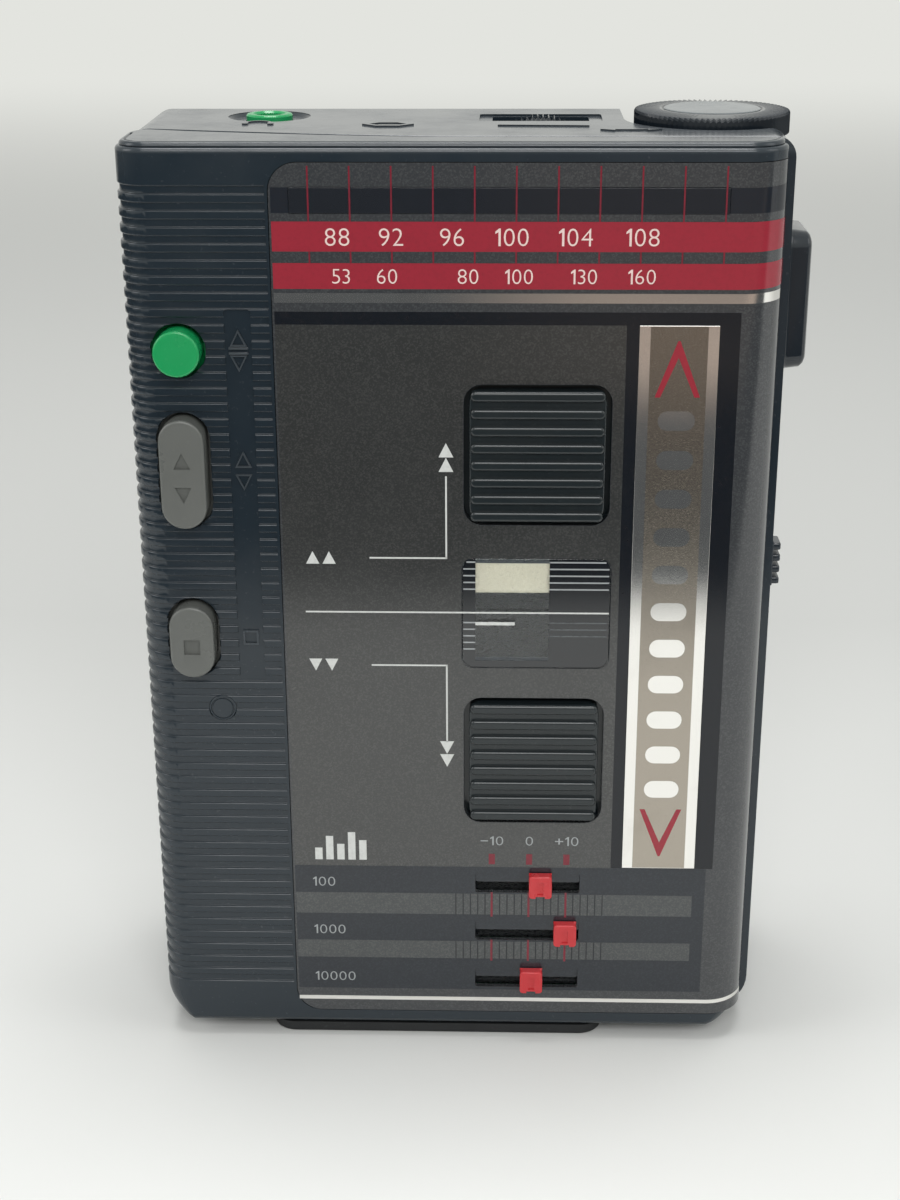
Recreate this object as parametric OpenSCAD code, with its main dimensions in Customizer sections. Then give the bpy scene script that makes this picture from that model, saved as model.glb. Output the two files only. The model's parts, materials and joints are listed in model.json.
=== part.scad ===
// Portable radio cassette player: a hinged front lid with keys and an equalizer, over an auto reverse deck.
// Millimetres, +Z up, the front faces -Y, z = 0 is the surface under the foot, x = 0 the middle of the case.

/* [Cassette] */
// Width of the cassette that the bay is built round
cassette_w = 63.8; // [60:0.1:68]
// Length of the cassette, which stands on end
cassette_h = 100.4; // [96:0.1:108]
// Thickness of the cassette
cassette_d = 12; // [11:0.1:13]
// Distance between the reels of the cassette
reel_gap = 42.5; // [40:0.1:45]

/* [Case] */
// Room under the cassette
bay_low = 12.3; // [11.5:0.1:16]
// Room over the cassette for the dial drive
bay_high = 9.3; // [9:0.1:12]
// Room in front of the cassette for its springs
bay_front = 4; // [3.8:0.1:6]
// Wall of the cabinet
wall = 1.3; // [1.1:0.1:1.5]
// Height of the foot under the case
foot_h = 2; // [1.5:0.1:4]
// Corner radius of the case at the top, seen from the front
top_round = 2.5; // [1:0.1:3.5]
// Corner radius of the case at the bottom, seen from the front
bottom_round = 5; // [2:0.1:6]
// Radius of the rear edges
rear_round = 2.5; // [1:0.1:3]

/* [Lid] */
// Wall of the lid
lid_wall = 2; // [1.8:0.05:2.2]
// Depth of the lid at its free right edge
lid_depth_right = 5.5; // [5.4:0.1:6]
// Depth of the lid at the hinge
lid_depth_left = 12.5; // [12:0.1:13]
// Gap along the seam between lid and cabinet
seam_gap = 0.3; // [0.25:0.05:0.5]
// Width of cabinet that shows past the lid at the right
flange = 1; // [0.6:0.1:1.4]
// Radius where the lid turns round its right edge
lid_turn = 5.3; // [4:0.1:5.4]
// Radius of the hinge barrel
barrel_r = 2.8; // [2.6:0.05:2.9]
// Radius of the hinge pin
hinge_pin_r = 0.8; // [0.6:0.05:1]
// Width of the ribbed key strip
strip_w = 18.6; // [18.4:0.1:19.5]
// Spacing of the ribs
rib_pitch = 2; // [1.6:0.1:2.6]
// Depth of the grooves between the ribs
rib_depth = 0.5; // [0.3:0.05:0.7]
// Thickness of the printed face plate
plate_t = 0.8; // [0.6:0.05:1]

/* [Keys] */
// Width of the play and stop buttons
key_w = 5.7; // [5:0.1:6]
// Length of the play button
play_h = 14.2; // [12:0.1:15]
// Length of the stop button
stop_h = 9.8; // [8:0.1:11]
// How far the buttons stand out of the strip
key_proud = 2; // [1:0.1:3]
// Travel of the play and stop buttons
key_travel = 2.5; // [2:0.1:2.6]
// Travel of the direction button
direction_travel = 1.5; // [1:0.1:1.7]
// Side of the fast-wind pads
pad_w = 17; // [16:0.1:17.4]
// Travel of the fast-wind pads
pad_travel = 1.2; // [0.8:0.1:1.3]
// Gap around every button
key_gap = 0.4; // [0.3:0.05:0.6]

/* [Equalizer] */
// Length of a slider slot
slot_len = 14.2; // [14:0.1:15]
// Height of a slider slot
slot_h = 3; // [2.6:0.1:3.2]
// Distance between the slider rows
eq_pitch = 7.5; // [7:0.1:8]
// Width of a slider knob
eq_knob_w = 3.1; // [2.6:0.1:3.4]

/* [Deck] */
// Radius of the capstans
capstan_r = 1; // [0.9:0.05:1.1]
// Travel of the head plate
head_travel = 5; // [4:0.1:5]
// Radius of the pinch rollers
pinch_r = 3.5; // [3.2:0.1:3.7]
// Radius of the motor
motor_r = 10.5; // [9:0.1:10.7]
// Radius of the motor pulley
pulley_r = 3; // [2.6:0.1:3.2]
// Diameter of an AA cell with room to turn
cell_d = 14.6; // [14.5:0.05:14.7]
// Running clearance of shafts, on the radius
run_gap = 0.06; // [0.05:0.01:0.09]

/* [Controls] */
// Radius of the tuning knob
tune_r = 9.9; // [9:0.1:10]
// Radius of the cord groove on the tuning drum
drum_r = 6.5; // [5.8:0.1:6.5]
// Radius of the volume wheel
volume_r = 9; // [8:0.1:9.2]
// Radius of the bore for a 3.5 mm phones plug
phones_r = 1.8; // [1.77:0.01:1.85]
// Radius of the ring around the phones socket
phones_ring_r = 3; // [2.8:0.05:3.2]
// How far the lid release stands out of the side
release_proud = 4; // [2:0.1:4.5]
// Travel of the lid release
release_travel = 2.5; // [1.5:0.1:2.5]
// Travel of the selector either way
selector_travel = 3; // [2:0.1:3]

/* [Hidden] */
$fn = 48;
gap = 0.3;
over = 1;

// The case is as wide, high and deep as what it holds.
cassette_gap = 0.5;
stem_w = 2;
latch_gap = 0.7;
tape_head_tail = 2.6;
head_gap = 0.2;
key_room = 2 * barrel_r + gap + stem_w + latch_gap + tape_head_tail + head_travel + head_gap;
case_w = key_room + cassette_w + cassette_gap + wall;
case_h = bay_low + cassette_h + bay_high;
deck_t = 1;
wheel_t = 1.2;
fly_t = 3.4;
bracket_t = 0.8;
board_t = 1.2;
deck_gap = 0.2;
wheel_gap = 0.4;
fly_gap = 0.6;
bracket_gap = 0.8;
board_gap = 2.6;
rear_gap = 2.5;
deck_room = deck_gap + deck_t + wheel_gap + wheel_t + fly_gap + fly_t + bracket_gap + bracket_t + board_gap
  + board_t + rear_gap;
case_d = lid_wall + bay_front + cassette_d + deck_room + wall;
left = -case_w / 2;
right = case_w / 2;
front = -case_d / 2;
back = case_d / 2;
base = foot_h;
top = foot_h + case_h;
in_left = left + wall;
in_right = right - wall;
in_back = back - wall;
in_base = base + wall;
in_top = top - wall;
lid_right = right - flange;
lid_in = front + lid_wall;
plate_back = front + plate_t;
plate_left = left + strip_w + 0.1;
plate_low = base + 2.3;
plate_high = top - 2.3;
plate_round = 3.4;
strip_turn = 4;
rim_r = 1.2;

// The deck stands on the rear plane of the cassette, whose right edge lies along the cabinet wall.
cassette_right = in_right - cassette_gap;
cassette_left = cassette_right - cassette_w;
cassette_back = front + lid_wall + bay_front + cassette_d;
tape_y = cassette_back - cassette_d / 2;
hub_x = cassette_right - 0.459 * cassette_w;
capstan_x = cassette_left + 0.1145 * cassette_w;
mid_z = base + bay_low + cassette_h / 2;
reel_z = [mid_z - reel_gap / 2, mid_z + reel_gap / 2];
capstan_half = 0.259 * cassette_h;
capstan_z = [mid_z - capstan_half, mid_z + capstan_half];

// Levels of the deck, front to back.
deck_y = cassette_back + deck_gap;
deck_rear = deck_y + deck_t;
wheel_y = deck_rear + wheel_gap;
fly_y = wheel_y + wheel_t + fly_gap;
belt_w = 1.4;
belt_y = fly_y + (fly_t - belt_w) / 2;
bracket_y = fly_y + fly_t + bracket_gap;
board_y = bracket_y + bracket_t + board_gap;
spindle_r = 2.2;
stud_r = 1;
post_r = 1.6;

// Battery tub in the left of the cabinet.
tub_wall = 0.8;
cell_x0 = in_left + 0.1;
cell_x1 = cell_x0 + cell_d;
tub_right = cell_x1 + tub_wall;
cell_y0 = in_back - 0.2 - cell_d;
tub_front = cell_y0 - tub_wall;
tub_low = in_base + 0.2;
phones_room = 15.5;
tub_high = top - phones_room;
deck_left = tub_right + deck_gap;
deck_right = in_right - 0.7;
deck_low = in_base + 0.4;

// Hinge of the lid.
hinge_x = left + barrel_r;
hinge_y = seam(hinge_x) - seam_gap / 2 - barrel_r;
ear_h = 6;
ear_from_end = 16;
ear_r = barrel_r - 0.5;
ear_cut_r = barrel_r + 0.5;
ear_web = 1.2;
ear_z = [base + ear_from_end, top - ear_from_end];

// Keys.
key_x = left + 6.9;
direction_r = 2.9;
direction_z = mid_z + 34.35;
play_z = mid_z + 18.9;
stop_z = mid_z - 3.75;
lens_r = 1.85;
lens_x = left + 10.2;
lens_z = mid_z - 13.8;
flange_t = 0.9;
lip_gap = 0.2;
lip_left = key_x - key_w / 2 - key_gap - 0.15;
lip_right = key_x + key_w / 2 + 0.9;
stem_h = 3;
stem_x0 = hinge_x + barrel_r + gap;
stem_end = hinge_y + 0.25;
reel_tip = tape_y - 1;

// Pads.
pad_x = hub_x + 0.3;
pad_z = [reel_z[0] + 0.05, reel_z[1] - 0.15];
pad_proud = 1;
pad_hole = pad_w + 1.5;
pad_round = 2.2;
pad_flange = pad_hole + 2;
arm_w = 2;
arm_z = [mid_z - 13, mid_z + 13];
push_x = left + 12.8;
push_r = 1;

// Window, dial lens and trim strip on the face plate.
window_x0 = pad_x - 9.4;
window_x1 = pad_x + 9.6;
window_z0 = mid_z - 7.7;
window_z1 = mid_z + 7.4;
window_round = 1.5;
cushion_x0 = window_x0 + 1.2;
cushion_w = 10.5;
cushion_z0 = mid_z + 2.5;
cushion_z1 = window_z1 - 0.65;
cushion_gap = 0.3;
seat = 0.5;
dial_x0 = plate_left + 2.4;
dial_x1 = lid_right - lid_turn - 2;
dial_z0 = top - 8.3;
dial_z1 = top - 5.2;
trim_x0 = pad_x + pad_hole / 2 + 2.95;
trim_x1 = lid_right - 7.75;
trim_z0 = base + 25.3;
trim_z1 = top - 21.8;
trim_t = 0.25;

// Equalizer.
eq_z = [for (i = [0:2]) base + 7.8 + i * eq_pitch];
eq_slot_x = pad_x - 0.55;
eq_rest = [0.65, 5.2, 1.75];
eq_reach = slot_len / 2 - eq_knob_w / 2 - 0.2;
eq_knob_h = 3.4;
eq_proud = 1.4;
eq_stem_w = 1.2;
eq_stem_h = 1.4;
pot_y = lid_in + 0.6;
pot_d = 2.5;
pot_h = 5;
pot_len = slot_len + 4;

// Tuning and dial.
tune_x = right - 8.7;
tune_y = 5;
shelf_r = tune_r + 1.3;
shelf_z = top - 3;
shelf_t = 1.3;
knob_low = shelf_z + gap;
rim_z = top + 0.8;
drum_z = shelf_z - shelf_t - 4;
deck_high = drum_z - 0.5;
drum_h = 2.8;
cord_r = 0.3;
cord_z = drum_z + drum_h / 2;
roller_r = 1.5;
roller_axle_r = 0.5;
roller_y = seam(0) + 3;
roller_x = [plate_left + 1.9, right - 5.5];
cord_front = roller_y - roller_r - 0.1 - cord_r;
pointer_rest = plate_left + 26.5;
pointer_reach = 18.3;
pointer_y = lid_in + 0.6;
rail_z = cord_z + 2;
capacitor_low = top - 24;
guide_at = [tune_x - drum_r - 3.4, tune_y - drum_r - 3];

// Volume, phones.
volume_x = tune_x - tune_r - 11.9;
volume_y = 6.5;
volume_t = 3.4;
volume_z = top + 0.2 - volume_r;
phones_x = left + 16.4;
phones_y = 7;
phones_low = tub_high + 0.5;

// Side controls.
release_y0 = -4;
release_y1 = 7.6;
release_z0 = top - 31.2;
release_z1 = top - 12.6;
release_stem_y = [3.4, 5.6];
release_stem_z = top - 22;
strip_t = 0.3;
selector_y = 3.5;
selector_w = 3.5;
selector_z = mid_z;
selector_h = 6.6;
selector_proud = 3.1;

// Screws.
screw_r = 1.1;
screw_head_r = 2.2;
screw_head_t = 1;
boss_r = 2.4;
screw_at = [[deck_left + 3.5, base + 8], [in_right - 3.7, base + 8],
            [deck_left + 3.5, top - 20], [tune_x - 10.1, top - 18]];

board_at = [[hub_x - 10, mid_z - 12.5], [hub_x + 20, mid_z - 12.5], [hub_x - 16, mid_z + 35.5]];

// Battery cover.
cover_x0 = left + 2.6;
cover_x1 = cell_x1;
cover_z0 = tub_low + 3;
cover_z1 = tub_high - 1.2;
cover_pin_r = 0.35;

// Belt path: motor pulley, lower flywheel, upper flywheel on the back of the belt, guide roller.
motor_x = hub_x + 16.1;
motor_z = base + 28;
guide_x = capstan_x + 8.3;
guide_z = capstan_z[1] + 15.1;
guide_r = 3;
belt_t = 0.8;
belt_rest = 0.05;
flywheel_r = capstan_x - tub_right - belt_rest - belt_t - gap;
belt_c = [[motor_x, motor_z], [capstan_x, capstan_z[0]], [capstan_x, capstan_z[1]], [guide_x, guide_z]];
belt_side = [-1, -1, 1, -1];
belt_radius = [pulley_r, flywheel_r, flywheel_r, guide_r];

// Friction train of the reels.
train = norm([hub_x - capstan_x, reel_z[1] - capstan_z[1]]);
train_gap = 0.1;
boss_wheel_r = train / 8;
idler_r = train / 4;
idler_at = (boss_wheel_r + idler_r + train_gap) / train;
idler_x = capstan_x + (hub_x - capstan_x) * idler_at;
idler_z = capstan_z[1] + (reel_z[1] - capstan_z[1]) * idler_at;
reel_r = train - boss_wheel_r - 2 * idler_r - 2 * train_gap;

// Head plate and what rides on it.
head_y = tub_front - gap - 0.8;
head_t = 0.8;
head_x0 = left + 2.8;
head_x1 = cassette_left - head_travel - head_gap;
head_half = capstan_half + 5.5;
guide_pin_x = head_x1 - 1.6;
guide_half = capstan_half + 3;
pinch_x = capstan_x - capstan_r - pinch_r - 0.1 - head_travel;
pinch_y0 = tape_y - 3.6;
pinch_y1 = head_y - gap;
tape_head_x = cassette_left - 0.9;
tape_head_y = tape_y - 4.6;
tape_head_half = 6;
wedge = head_travel / key_travel;
switch_h = 4;
switch_front = hinge_y + 2.05;

// Shapes

function seam(x) = front + lid_depth_right
  + (lid_depth_left - lid_depth_right) * pow(max(0, -x) / (case_w / 2), 1.5);

function arc(cx, cy, r, a0, a1, n = 6) =
  [for (i = [0:n]) let (a = a0 + (a1 - a0) * i / n) [cx + r * cos(a), cy + r * sin(a)]];

function round_pts(x0, y0, x1, y1, r) = concat(
  arc(x1 - r, y1 - r, r, 0, 90), arc(x0 + r, y1 - r, r, 90, 180),
  arc(x0 + r, y0 + r, r, 180, 270), arc(x1 - r, y0 + r, r, 270, 360));

// The tangent points of a closed belt round circles; a radius's sign says which way the belt turns there.
function belt_dir(c, r, i) = let (j = (i + 1) % len(c), d = c[j] - c[i])
  atan2(d[1], d[0]) + asin((r[i] - r[j]) / norm(d));
function turn_to(a, b, s) = s > 0 ? (b >= a ? b : b + 360) : (b <= a ? b : b - 360);
function belt_pts(c, r) = [for (i = [0:len(c) - 1]) let (
    h = (i + len(c) - 1) % len(c), a0 = belt_dir(c, r, h), s = sign(r[i]),
    a1 = turn_to(a0, belt_dir(c, r, i), s))
  for (p = arc(c[i][0], c[i][1], r[i], a0 - 90, a1 - 90, 10)) p];

function tooth_pts(n, r_out, r_in) = [for (i = [0:2 * n - 1]) let (
    a = 180 * i / n, r = i % 2 == 0 ? r_out : r_in) [r * cos(a), r * sin(a)]];

// Extrudes a shape drawn in x and z along y, from y0 to y1.
module along_y(y0, y1) {
  translate([0, y1, 0]) rotate([90, 0, 0]) linear_extrude(y1 - y0) children();
}

// Extrudes a shape drawn in y and z along x, from x0 to x1.
module along_x(x0, x1) {
  translate([x0, 0, 0]) rotate([90, 0, 90]) linear_extrude(x1 - x0) children();
}

module along_z(z0, z1) {
  translate([0, 0, z0]) linear_extrude(z1 - z0) children();
}

module box(x0, x1, y0, y1, z0, z1) {
  translate([x0, y0, z0]) cube([x1 - x0, y1 - y0, z1 - z0]);
}

module rod_y(x, z, r, y0, y1) {
  translate([x, y0, z]) rotate([-90, 0, 0]) cylinder(r = r, h = y1 - y0);
}

module rod_z(x, y, r, z0, z1) {
  translate([x, y, z0]) cylinder(r = r, h = z1 - z0);
}

module capsule(x, z, w, h) {
  r = w / 2;
  polygon(concat(arc(x, z + h / 2 - r, r, 0, 180, 12), arc(x, z - h / 2 + r, r, 180, 360, 12)));
}

// The outline of the case from the front, with its right edge at x1.
module case_front(x1) {
  t = top_round;
  b = bottom_round;
  polygon(concat(arc(x1 - t, top - t, t, 0, 90), arc(left + t, top - t, t, 90, 180),
    arc(left + b, base + b, b, 180, 270), arc(x1 - b, base + b, b, 270, 360)));
}

// The plan of the lid, drawn in by an inset everywhere but at the seam.
module lid_plan(inset) {
  polygon(concat(
    arc(left + strip_turn, front + strip_turn, strip_turn - inset, 180, 270),
    arc(lid_right - lid_turn, front + lid_turn, lid_turn - inset, 270, 360),
    [[lid_right - inset, seam(lid_right) - seam_gap / 2]],
    [for (i = [0:6]) let (x = hinge_x * i / 7) [x, seam(x) - seam_gap / 2]],
    arc(hinge_x, hinge_y, barrel_r - inset, 90, 180)));
}

module lid_hollow() {
  difference() {
    polygon(concat(
      arc(left + strip_turn, front + strip_turn, strip_turn - lid_wall, 180, 270),
      arc(lid_right - lid_turn, front + lid_turn, lid_turn - lid_wall, 270, 360),
      [[lid_right - lid_wall, 0], [left + lid_wall, 0]]));
    translate([hinge_x, hinge_y]) circle(r = barrel_r);
  }
}

module plate_front(grow) {
  r = plate_round + grow;
  x0 = plate_left - grow;
  x1 = right + over;
  z0 = plate_low - grow;
  z1 = plate_high + grow;
  polygon(concat([[x1, z1]], arc(x0 + r, z1 - r, r, 90, 180), arc(x0 + r, z0 + r, r, 180, 270), [[x1, z0]]));
}

// Holes of the pads, the window and the sliders, from the front.
module plate_holes(window_in) {
  for (z = pad_z) polygon(round_pts(pad_x - pad_hole / 2, z - pad_hole / 2, pad_x + pad_hole / 2,
    z + pad_hole / 2, pad_round));
  polygon(round_pts(window_x0 + window_in, window_z0 + window_in, window_x1 - window_in,
    window_z1 - window_in, window_round));
  for (z = eq_z) translate([eq_slot_x - slot_len / 2, z - slot_h / 2]) square([slot_len, slot_h]);
  translate([dial_x0 + window_in, dial_z0 + window_in])
    square([dial_x1 - dial_x0 - 2 * window_in, dial_z1 - dial_z0 - 2 * window_in]);
}

module key_holes() {
  translate([key_x, direction_z]) circle(r = direction_r + key_gap);
  capsule(key_x, play_z, key_w + 2 * key_gap, play_h + 2 * key_gap);
  capsule(key_x, stop_z, key_w + 2 * key_gap, stop_h + 2 * key_gap);
  translate([lens_x, lens_z]) circle(r = lens_r);
}

module rib_grooves() {
  groove = rib_pitch * 0.3;
  first = base + 5.9;
  count = floor((top - 5.9 - first) / rib_pitch);
  intersection() {
    for (i = [0:count]) along_z(first + i * rib_pitch, first + i * rib_pitch + groove) difference() {
      lid_plan(-over);
      lid_plan(rib_depth);
    }
    box(left - 2 * over, plate_left - 0.5, front - 2 * over, hinge_y, base, top);
  }
}

// Sub-parts of the cabinet

module rear_cabinet() {
  color("#20262c") difference() {
    union() {
      difference() {
        cabinet_solid();
        cabinet_hollow();
      }
      for (z = ear_z) hinge_ear(z);
      for (p = screw_at) rod_y(p[0], p[1], boss_r, deck_rear, in_back + 0.2);
      for (p = board_at) rod_y(p[0], p[1], spindle_r, board_y + board_t, in_back + 0.2);
      shelf_floor();
    }
    shelf_space();
    for (p = screw_at) {
      rod_y(p[0], p[1], screw_r + 0.1, deck_rear - over, back + over);
      rod_y(p[0], p[1], screw_head_r + 0.15, back - screw_head_t - 0.1, back + over);
    }
    rod_z(hinge_x, hinge_y, hinge_pin_r, base, top);
    top_openings();
    side_openings();
    battery_opening();
  }
}

module cabinet_solid() {
  r = rear_round;
  intersection() {
    along_z(base, top) polygon(concat(
      [[left, seam(hinge_x) + seam_gap / 2]],
      [for (i = [0:6]) let (x = hinge_x * (1 - i / 7)) [x, seam(x) + seam_gap / 2]],
      [[0, seam(0) + seam_gap / 2], [right, seam(right) + seam_gap / 2]],
      arc(right - r, back - r, r, 0, 90), arc(left + r, back - r, r, 90, 180)));
    along_y(front, back) case_front(right);
    along_x(left, right) polygon(concat([[front, base], [front, top]],
      [for (p = arc(back - r, top - r, r, 90, 0)) p], [for (p = arc(back - r, base + r, r, 0, -90)) p]));
  }
}

module cabinet_hollow() {
  w = wall;
  t = top_round - w;
  b = bottom_round - w;
  along_y(front - over, in_back) polygon(concat(
    arc(in_right - t, in_top - t, t, 0, 90), arc(in_left + t, in_top - t, t, 90, 180),
    arc(in_left + b, in_base + b, b, 180, 270), arc(in_right - b, in_base + b, b, 270, 360)));
}

// One hinge knuckle, which stands forward of the cabinet's left wall into a notch of the lid.
module hinge_ear(z) {
  edge = seam(hinge_x) + seam_gap / 2;
  rod_z(hinge_x, hinge_y, ear_r, z - ear_h / 2, z + ear_h / 2);
  box(hinge_x - ear_web, hinge_x + ear_web, hinge_y, edge + 2, z - ear_h / 2, z + ear_h / 2);
  box(left + 0.4, hinge_x + ear_web, edge, edge + 3, z - ear_h / 2, z + ear_h / 2);
}

// The lowered shelf round the tuning knob, open at the back and the right.
module shelf_space() {
  rod_z(tune_x, tune_y, shelf_r, shelf_z, top + over);
  box(tune_x - shelf_r, right + over, tune_y, back + over, shelf_z, top + over);
  rod_z(tune_x, tune_y, 2.5 + gap, drum_z + drum_h, shelf_z + over);
}

module shelf_floor() {
  intersection() {
    cabinet_solid();
    union() {
      rod_z(tune_x, tune_y, shelf_r + shelf_t, shelf_z - shelf_t, top);
      box(tune_x - shelf_r - shelf_t, right, tune_y, back, shelf_z - shelf_t, top);
    }
  }
}

module top_openings() {
  rod_z(phones_x, phones_y, phones_ring_r + 0.05, in_top - over, top + over);
  rod_z(phones_x, phones_y, phones_ring_r + 2.3, top - 0.5, top + over);
  box(volume_x - 7.85, volume_x + 7.85, volume_y - 4, volume_y + 4, top - 0.5, top + over);
  box(volume_x - 6.2, volume_x + 6.2, volume_y - volume_t / 2 - 0.35, volume_y + volume_t / 2 + 0.35,
    in_top - over, top + over);
}

module side_openings() {
  box(in_right - over, right + over, release_stem_y[0] - gap, release_stem_y[1] + gap,
    release_stem_z - 2 - release_travel - gap, release_stem_z + 2 + gap);
  box(in_right - over, right + over, selector_y - 0.7 - gap, selector_y + 0.7 + gap,
    selector_z - 1.5 - selector_travel - gap, selector_z + 1.5 + selector_travel + gap);
}

module battery_opening() {
  clear = 0.25;
  box(cover_x0 - clear, cover_x1 + clear, in_back - over, back + over, cover_z0 - clear, cover_z1 + clear);
  rod_z(cover_x0 + wall / 2, back - wall / 2, cover_pin_r + run_gap, cover_z0 - 1.6, cover_z1 + 1.6);
}

module base_foot() {
  foot_x0 = left + 15;
  foot_x1 = right - 20.7;
  step = seam(foot_x0) + 1;
  color("#15191d") {
    along_z(0, foot_h - 0.4) polygon(round_pts(foot_x0, front + 0.9, foot_x1, back - 2, 3));
    along_z(foot_h - 0.4, foot_h) polygon(round_pts(foot_x0 + 0.6, step, foot_x1 - 0.6, back - 2.6, 2.4));
  }
}

module hinge_pin() {
  color("#b9bdc2") rod_z(hinge_x, hinge_y, hinge_pin_r, base + 3, top - 3);
}

module case_screws() {
  color("#3a3d41") for (p = screw_at) difference() {
    union() {
      rod_y(p[0], p[1], screw_r, deck_y, back - 0.3);
      rod_y(p[0], p[1], screw_head_r, back - screw_head_t - 0.1, back - 0.1);
    }
    box(p[0] - 1.3, p[0] + 1.3, back - 0.7, back + over, p[1] - 0.25, p[1] + 0.25);
    box(p[0] - 0.25, p[0] + 0.25, back - 0.7, back + over, p[1] - 1.3, p[1] + 1.3);
  }
}

module battery_tub() {
  color("#1c2024") {
    intersection() {
      union() {
        box(in_left, tub_right, tub_front, cell_y0, tub_low, tub_high);
        box(cell_x1, tub_right, cell_y0, in_back, tub_low, tub_high);
        box(in_left, cell_x1, cell_y0, in_back, tub_low, tub_low + tub_wall);
        box(in_left, cell_x1, cell_y0, in_back, tub_high - tub_wall, tub_high);
      }
      cabinet_hollow();
    }
    for (s = [-1, 1]) rod_y(guide_pin_x, mid_z + s * guide_half, 1, head_y - 0.6, tub_front);
  }
}

module battery_contacts() {
  x0 = cell_x0 + 3.5;
  x1 = cell_x1 - 3.5;
  low = tub_low + tub_wall;
  high = tub_high - tub_wall;
  mid = (cell_y0 + in_back) / 2;
  color("#c4c7c9") {
    box(x0, x1, cell_y0 + 2, in_back - 2.5, high - 0.4, high);
    rod_z((x0 + x1) / 2, mid, 2.2, high - 0.9, high - 0.4);
    box(x0, x1, cell_y0 + 2, in_back - 2.5, low, low + 0.4);
    along_x(x0 + 1.5, x1 - 1.5) polygon([[cell_y0 + 2, low + 0.4], [cell_y0 + 2.5, low + 0.4],
      [mid, low + 1.7], [in_back - 4, low + 0.4], [in_back - 3.4, low + 0.4], [mid, low + 2.1]]);
  }
}

module main_board() {
  low = motor_z + motor_r + 3.5;
  high = top - 10.6;
  tongue_x0 = phones_x + 5;
  tongue_x1 = volume_x + 9;
  color("#2f5a3c") difference() {
    union() {
      box(deck_left + 0.4, in_right - 0.7, board_y, board_y + board_t, low, high);
      box(tongue_x0, tongue_x1, board_y, board_y + board_t, high - 0.1, top - 5);
    }
    for (p = screw_at) rod_y(p[0], p[1], boss_r + gap, board_y - over, board_y + board_t + over);
  }
}

module board_parts() {
  chips = [[-28, -16, 1.4, -6, 2], [-24, -14, 1.6, 8, 14], [-8, 6, 1.6, -8, -2], [8, 13, 4.5, 20, 25],
    [2, 7, 4.5, 26, 31]];
  cans = [-14, 2, 9, 16];
  color("#23262a") {
    for (c = chips) box(hub_x + c[0], hub_x + c[1], board_y - c[2], board_y, mid_z + c[3], mid_z + c[4]);
    for (z = cans) rod_y(hub_x + 10, mid_z + z, boss_r, board_y - 5, board_y);
  }
}

module mechanism_plate() {
  color("#a9adb1") difference() {
    union() {
      intersection() {
        box(deck_left, deck_right, deck_y, deck_rear, deck_low, deck_high);
        cabinet_hollow();
      }
      for (z = [mid_z - 8.5, mid_z + 8.5]) rod_y(capstan_x + 6.8, z, post_r, deck_y + 0.2, bracket_y);
      for (p = [[9, 3], [-2, -8.5]]) rod_y(motor_x + p[0], motor_z + p[1], post_r, deck_y + 0.2, bracket_y);
      rod_y(idler_x, idler_z, stud_r, deck_y + 0.2, wheel_y + wheel_t + 0.3);
      rod_y(guide_x, guide_z, stud_r, deck_y + 0.2, belt_y + belt_w + 0.6);
    }
    for (z = capstan_z) rod_y(capstan_x, z, capstan_r + run_gap, deck_y - over, deck_rear + over);
    for (z = reel_z) rod_y(hub_x, z, spindle_r + run_gap, deck_y - over, deck_rear + over);
    for (p = screw_at) rod_y(p[0], p[1], screw_r, deck_y - over, deck_rear + over);
  }
}

module flywheel_bracket() {
  color("#9da1a6") difference() {
    box(capstan_x - 4, capstan_x + 9, bracket_y, bracket_y + bracket_t, capstan_z[0] - 4, capstan_z[1] + 4);
    for (z = capstan_z)
      rod_y(capstan_x, z, capstan_r + run_gap, bracket_y - over, bracket_y + bracket_t + over);
  }
}

module drive_motor() {
  color("#c9ccd0") difference() {
    union() {
      rod_y(motor_x, motor_z, motor_r, bracket_y, in_back - 1);
      rod_y(motor_x, motor_z, 3.2, bracket_y - 0.6, bracket_y);
    }
    rod_y(motor_x, motor_z, 0.8 + run_gap, bracket_y - over, bracket_y + 4.1);
  }
}

module drive_belt() {
  n = len(belt_c) - 1;
  outer = [for (i = [0:n]) belt_side[i] * (belt_radius[i] + belt_rest + (belt_side[i] < 0 ? belt_t : 0))];
  inner = [for (i = [0:n]) belt_side[i] * (belt_radius[i] + belt_rest + (belt_side[i] < 0 ? 0 : belt_t))];
  color("#1a1a1a") along_y(belt_y, belt_y + belt_w) difference() {
    polygon(belt_pts(belt_c, outer));
    polygon(belt_pts(belt_c, inner));
  }
}

module key_switches() {
  color("#2b2e33") {
    box(key_x - 2.4, key_x + 2.4, switch_front + 1, tub_front, direction_z - switch_h / 2,
      direction_z + switch_h / 2);
    box(key_x - 1.2, key_x + 1.2, switch_front, switch_front + 1, direction_z - 1.2, direction_z + 1.2);
    for (z = arm_z) {
      box(push_x - 1.4, push_x + 1.4, switch_front + 1, tub_front, z - switch_h / 2, z + switch_h / 2);
      box(push_x - 1, push_x + 1, switch_front, switch_front + 1, z - 1.2, z + 1.2);
    }
  }
}

module phone_jack() {
  s = 3.8;
  color("#1fa05c") difference() {
    union() {
      box(phones_x - s, phones_x + s, phones_y - s, phones_y + s, phones_low, in_top);
      rod_z(phones_x, phones_y, phones_ring_r, in_top, top + 0.4);
    }
    rod_z(phones_x, phones_y, phones_r, phones_low + 0.7, top + over);
  }
}

module volume_pot() {
  rear = volume_y + volume_t / 2;
  color("#8d9196") {
    rod_y(volume_x, volume_z, volume_r - 2.5, rear + 0.4, board_y);
    rod_y(volume_x, volume_z, 1.5, volume_y - volume_t / 2 + 0.3, rear + 0.4);
  }
}

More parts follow.
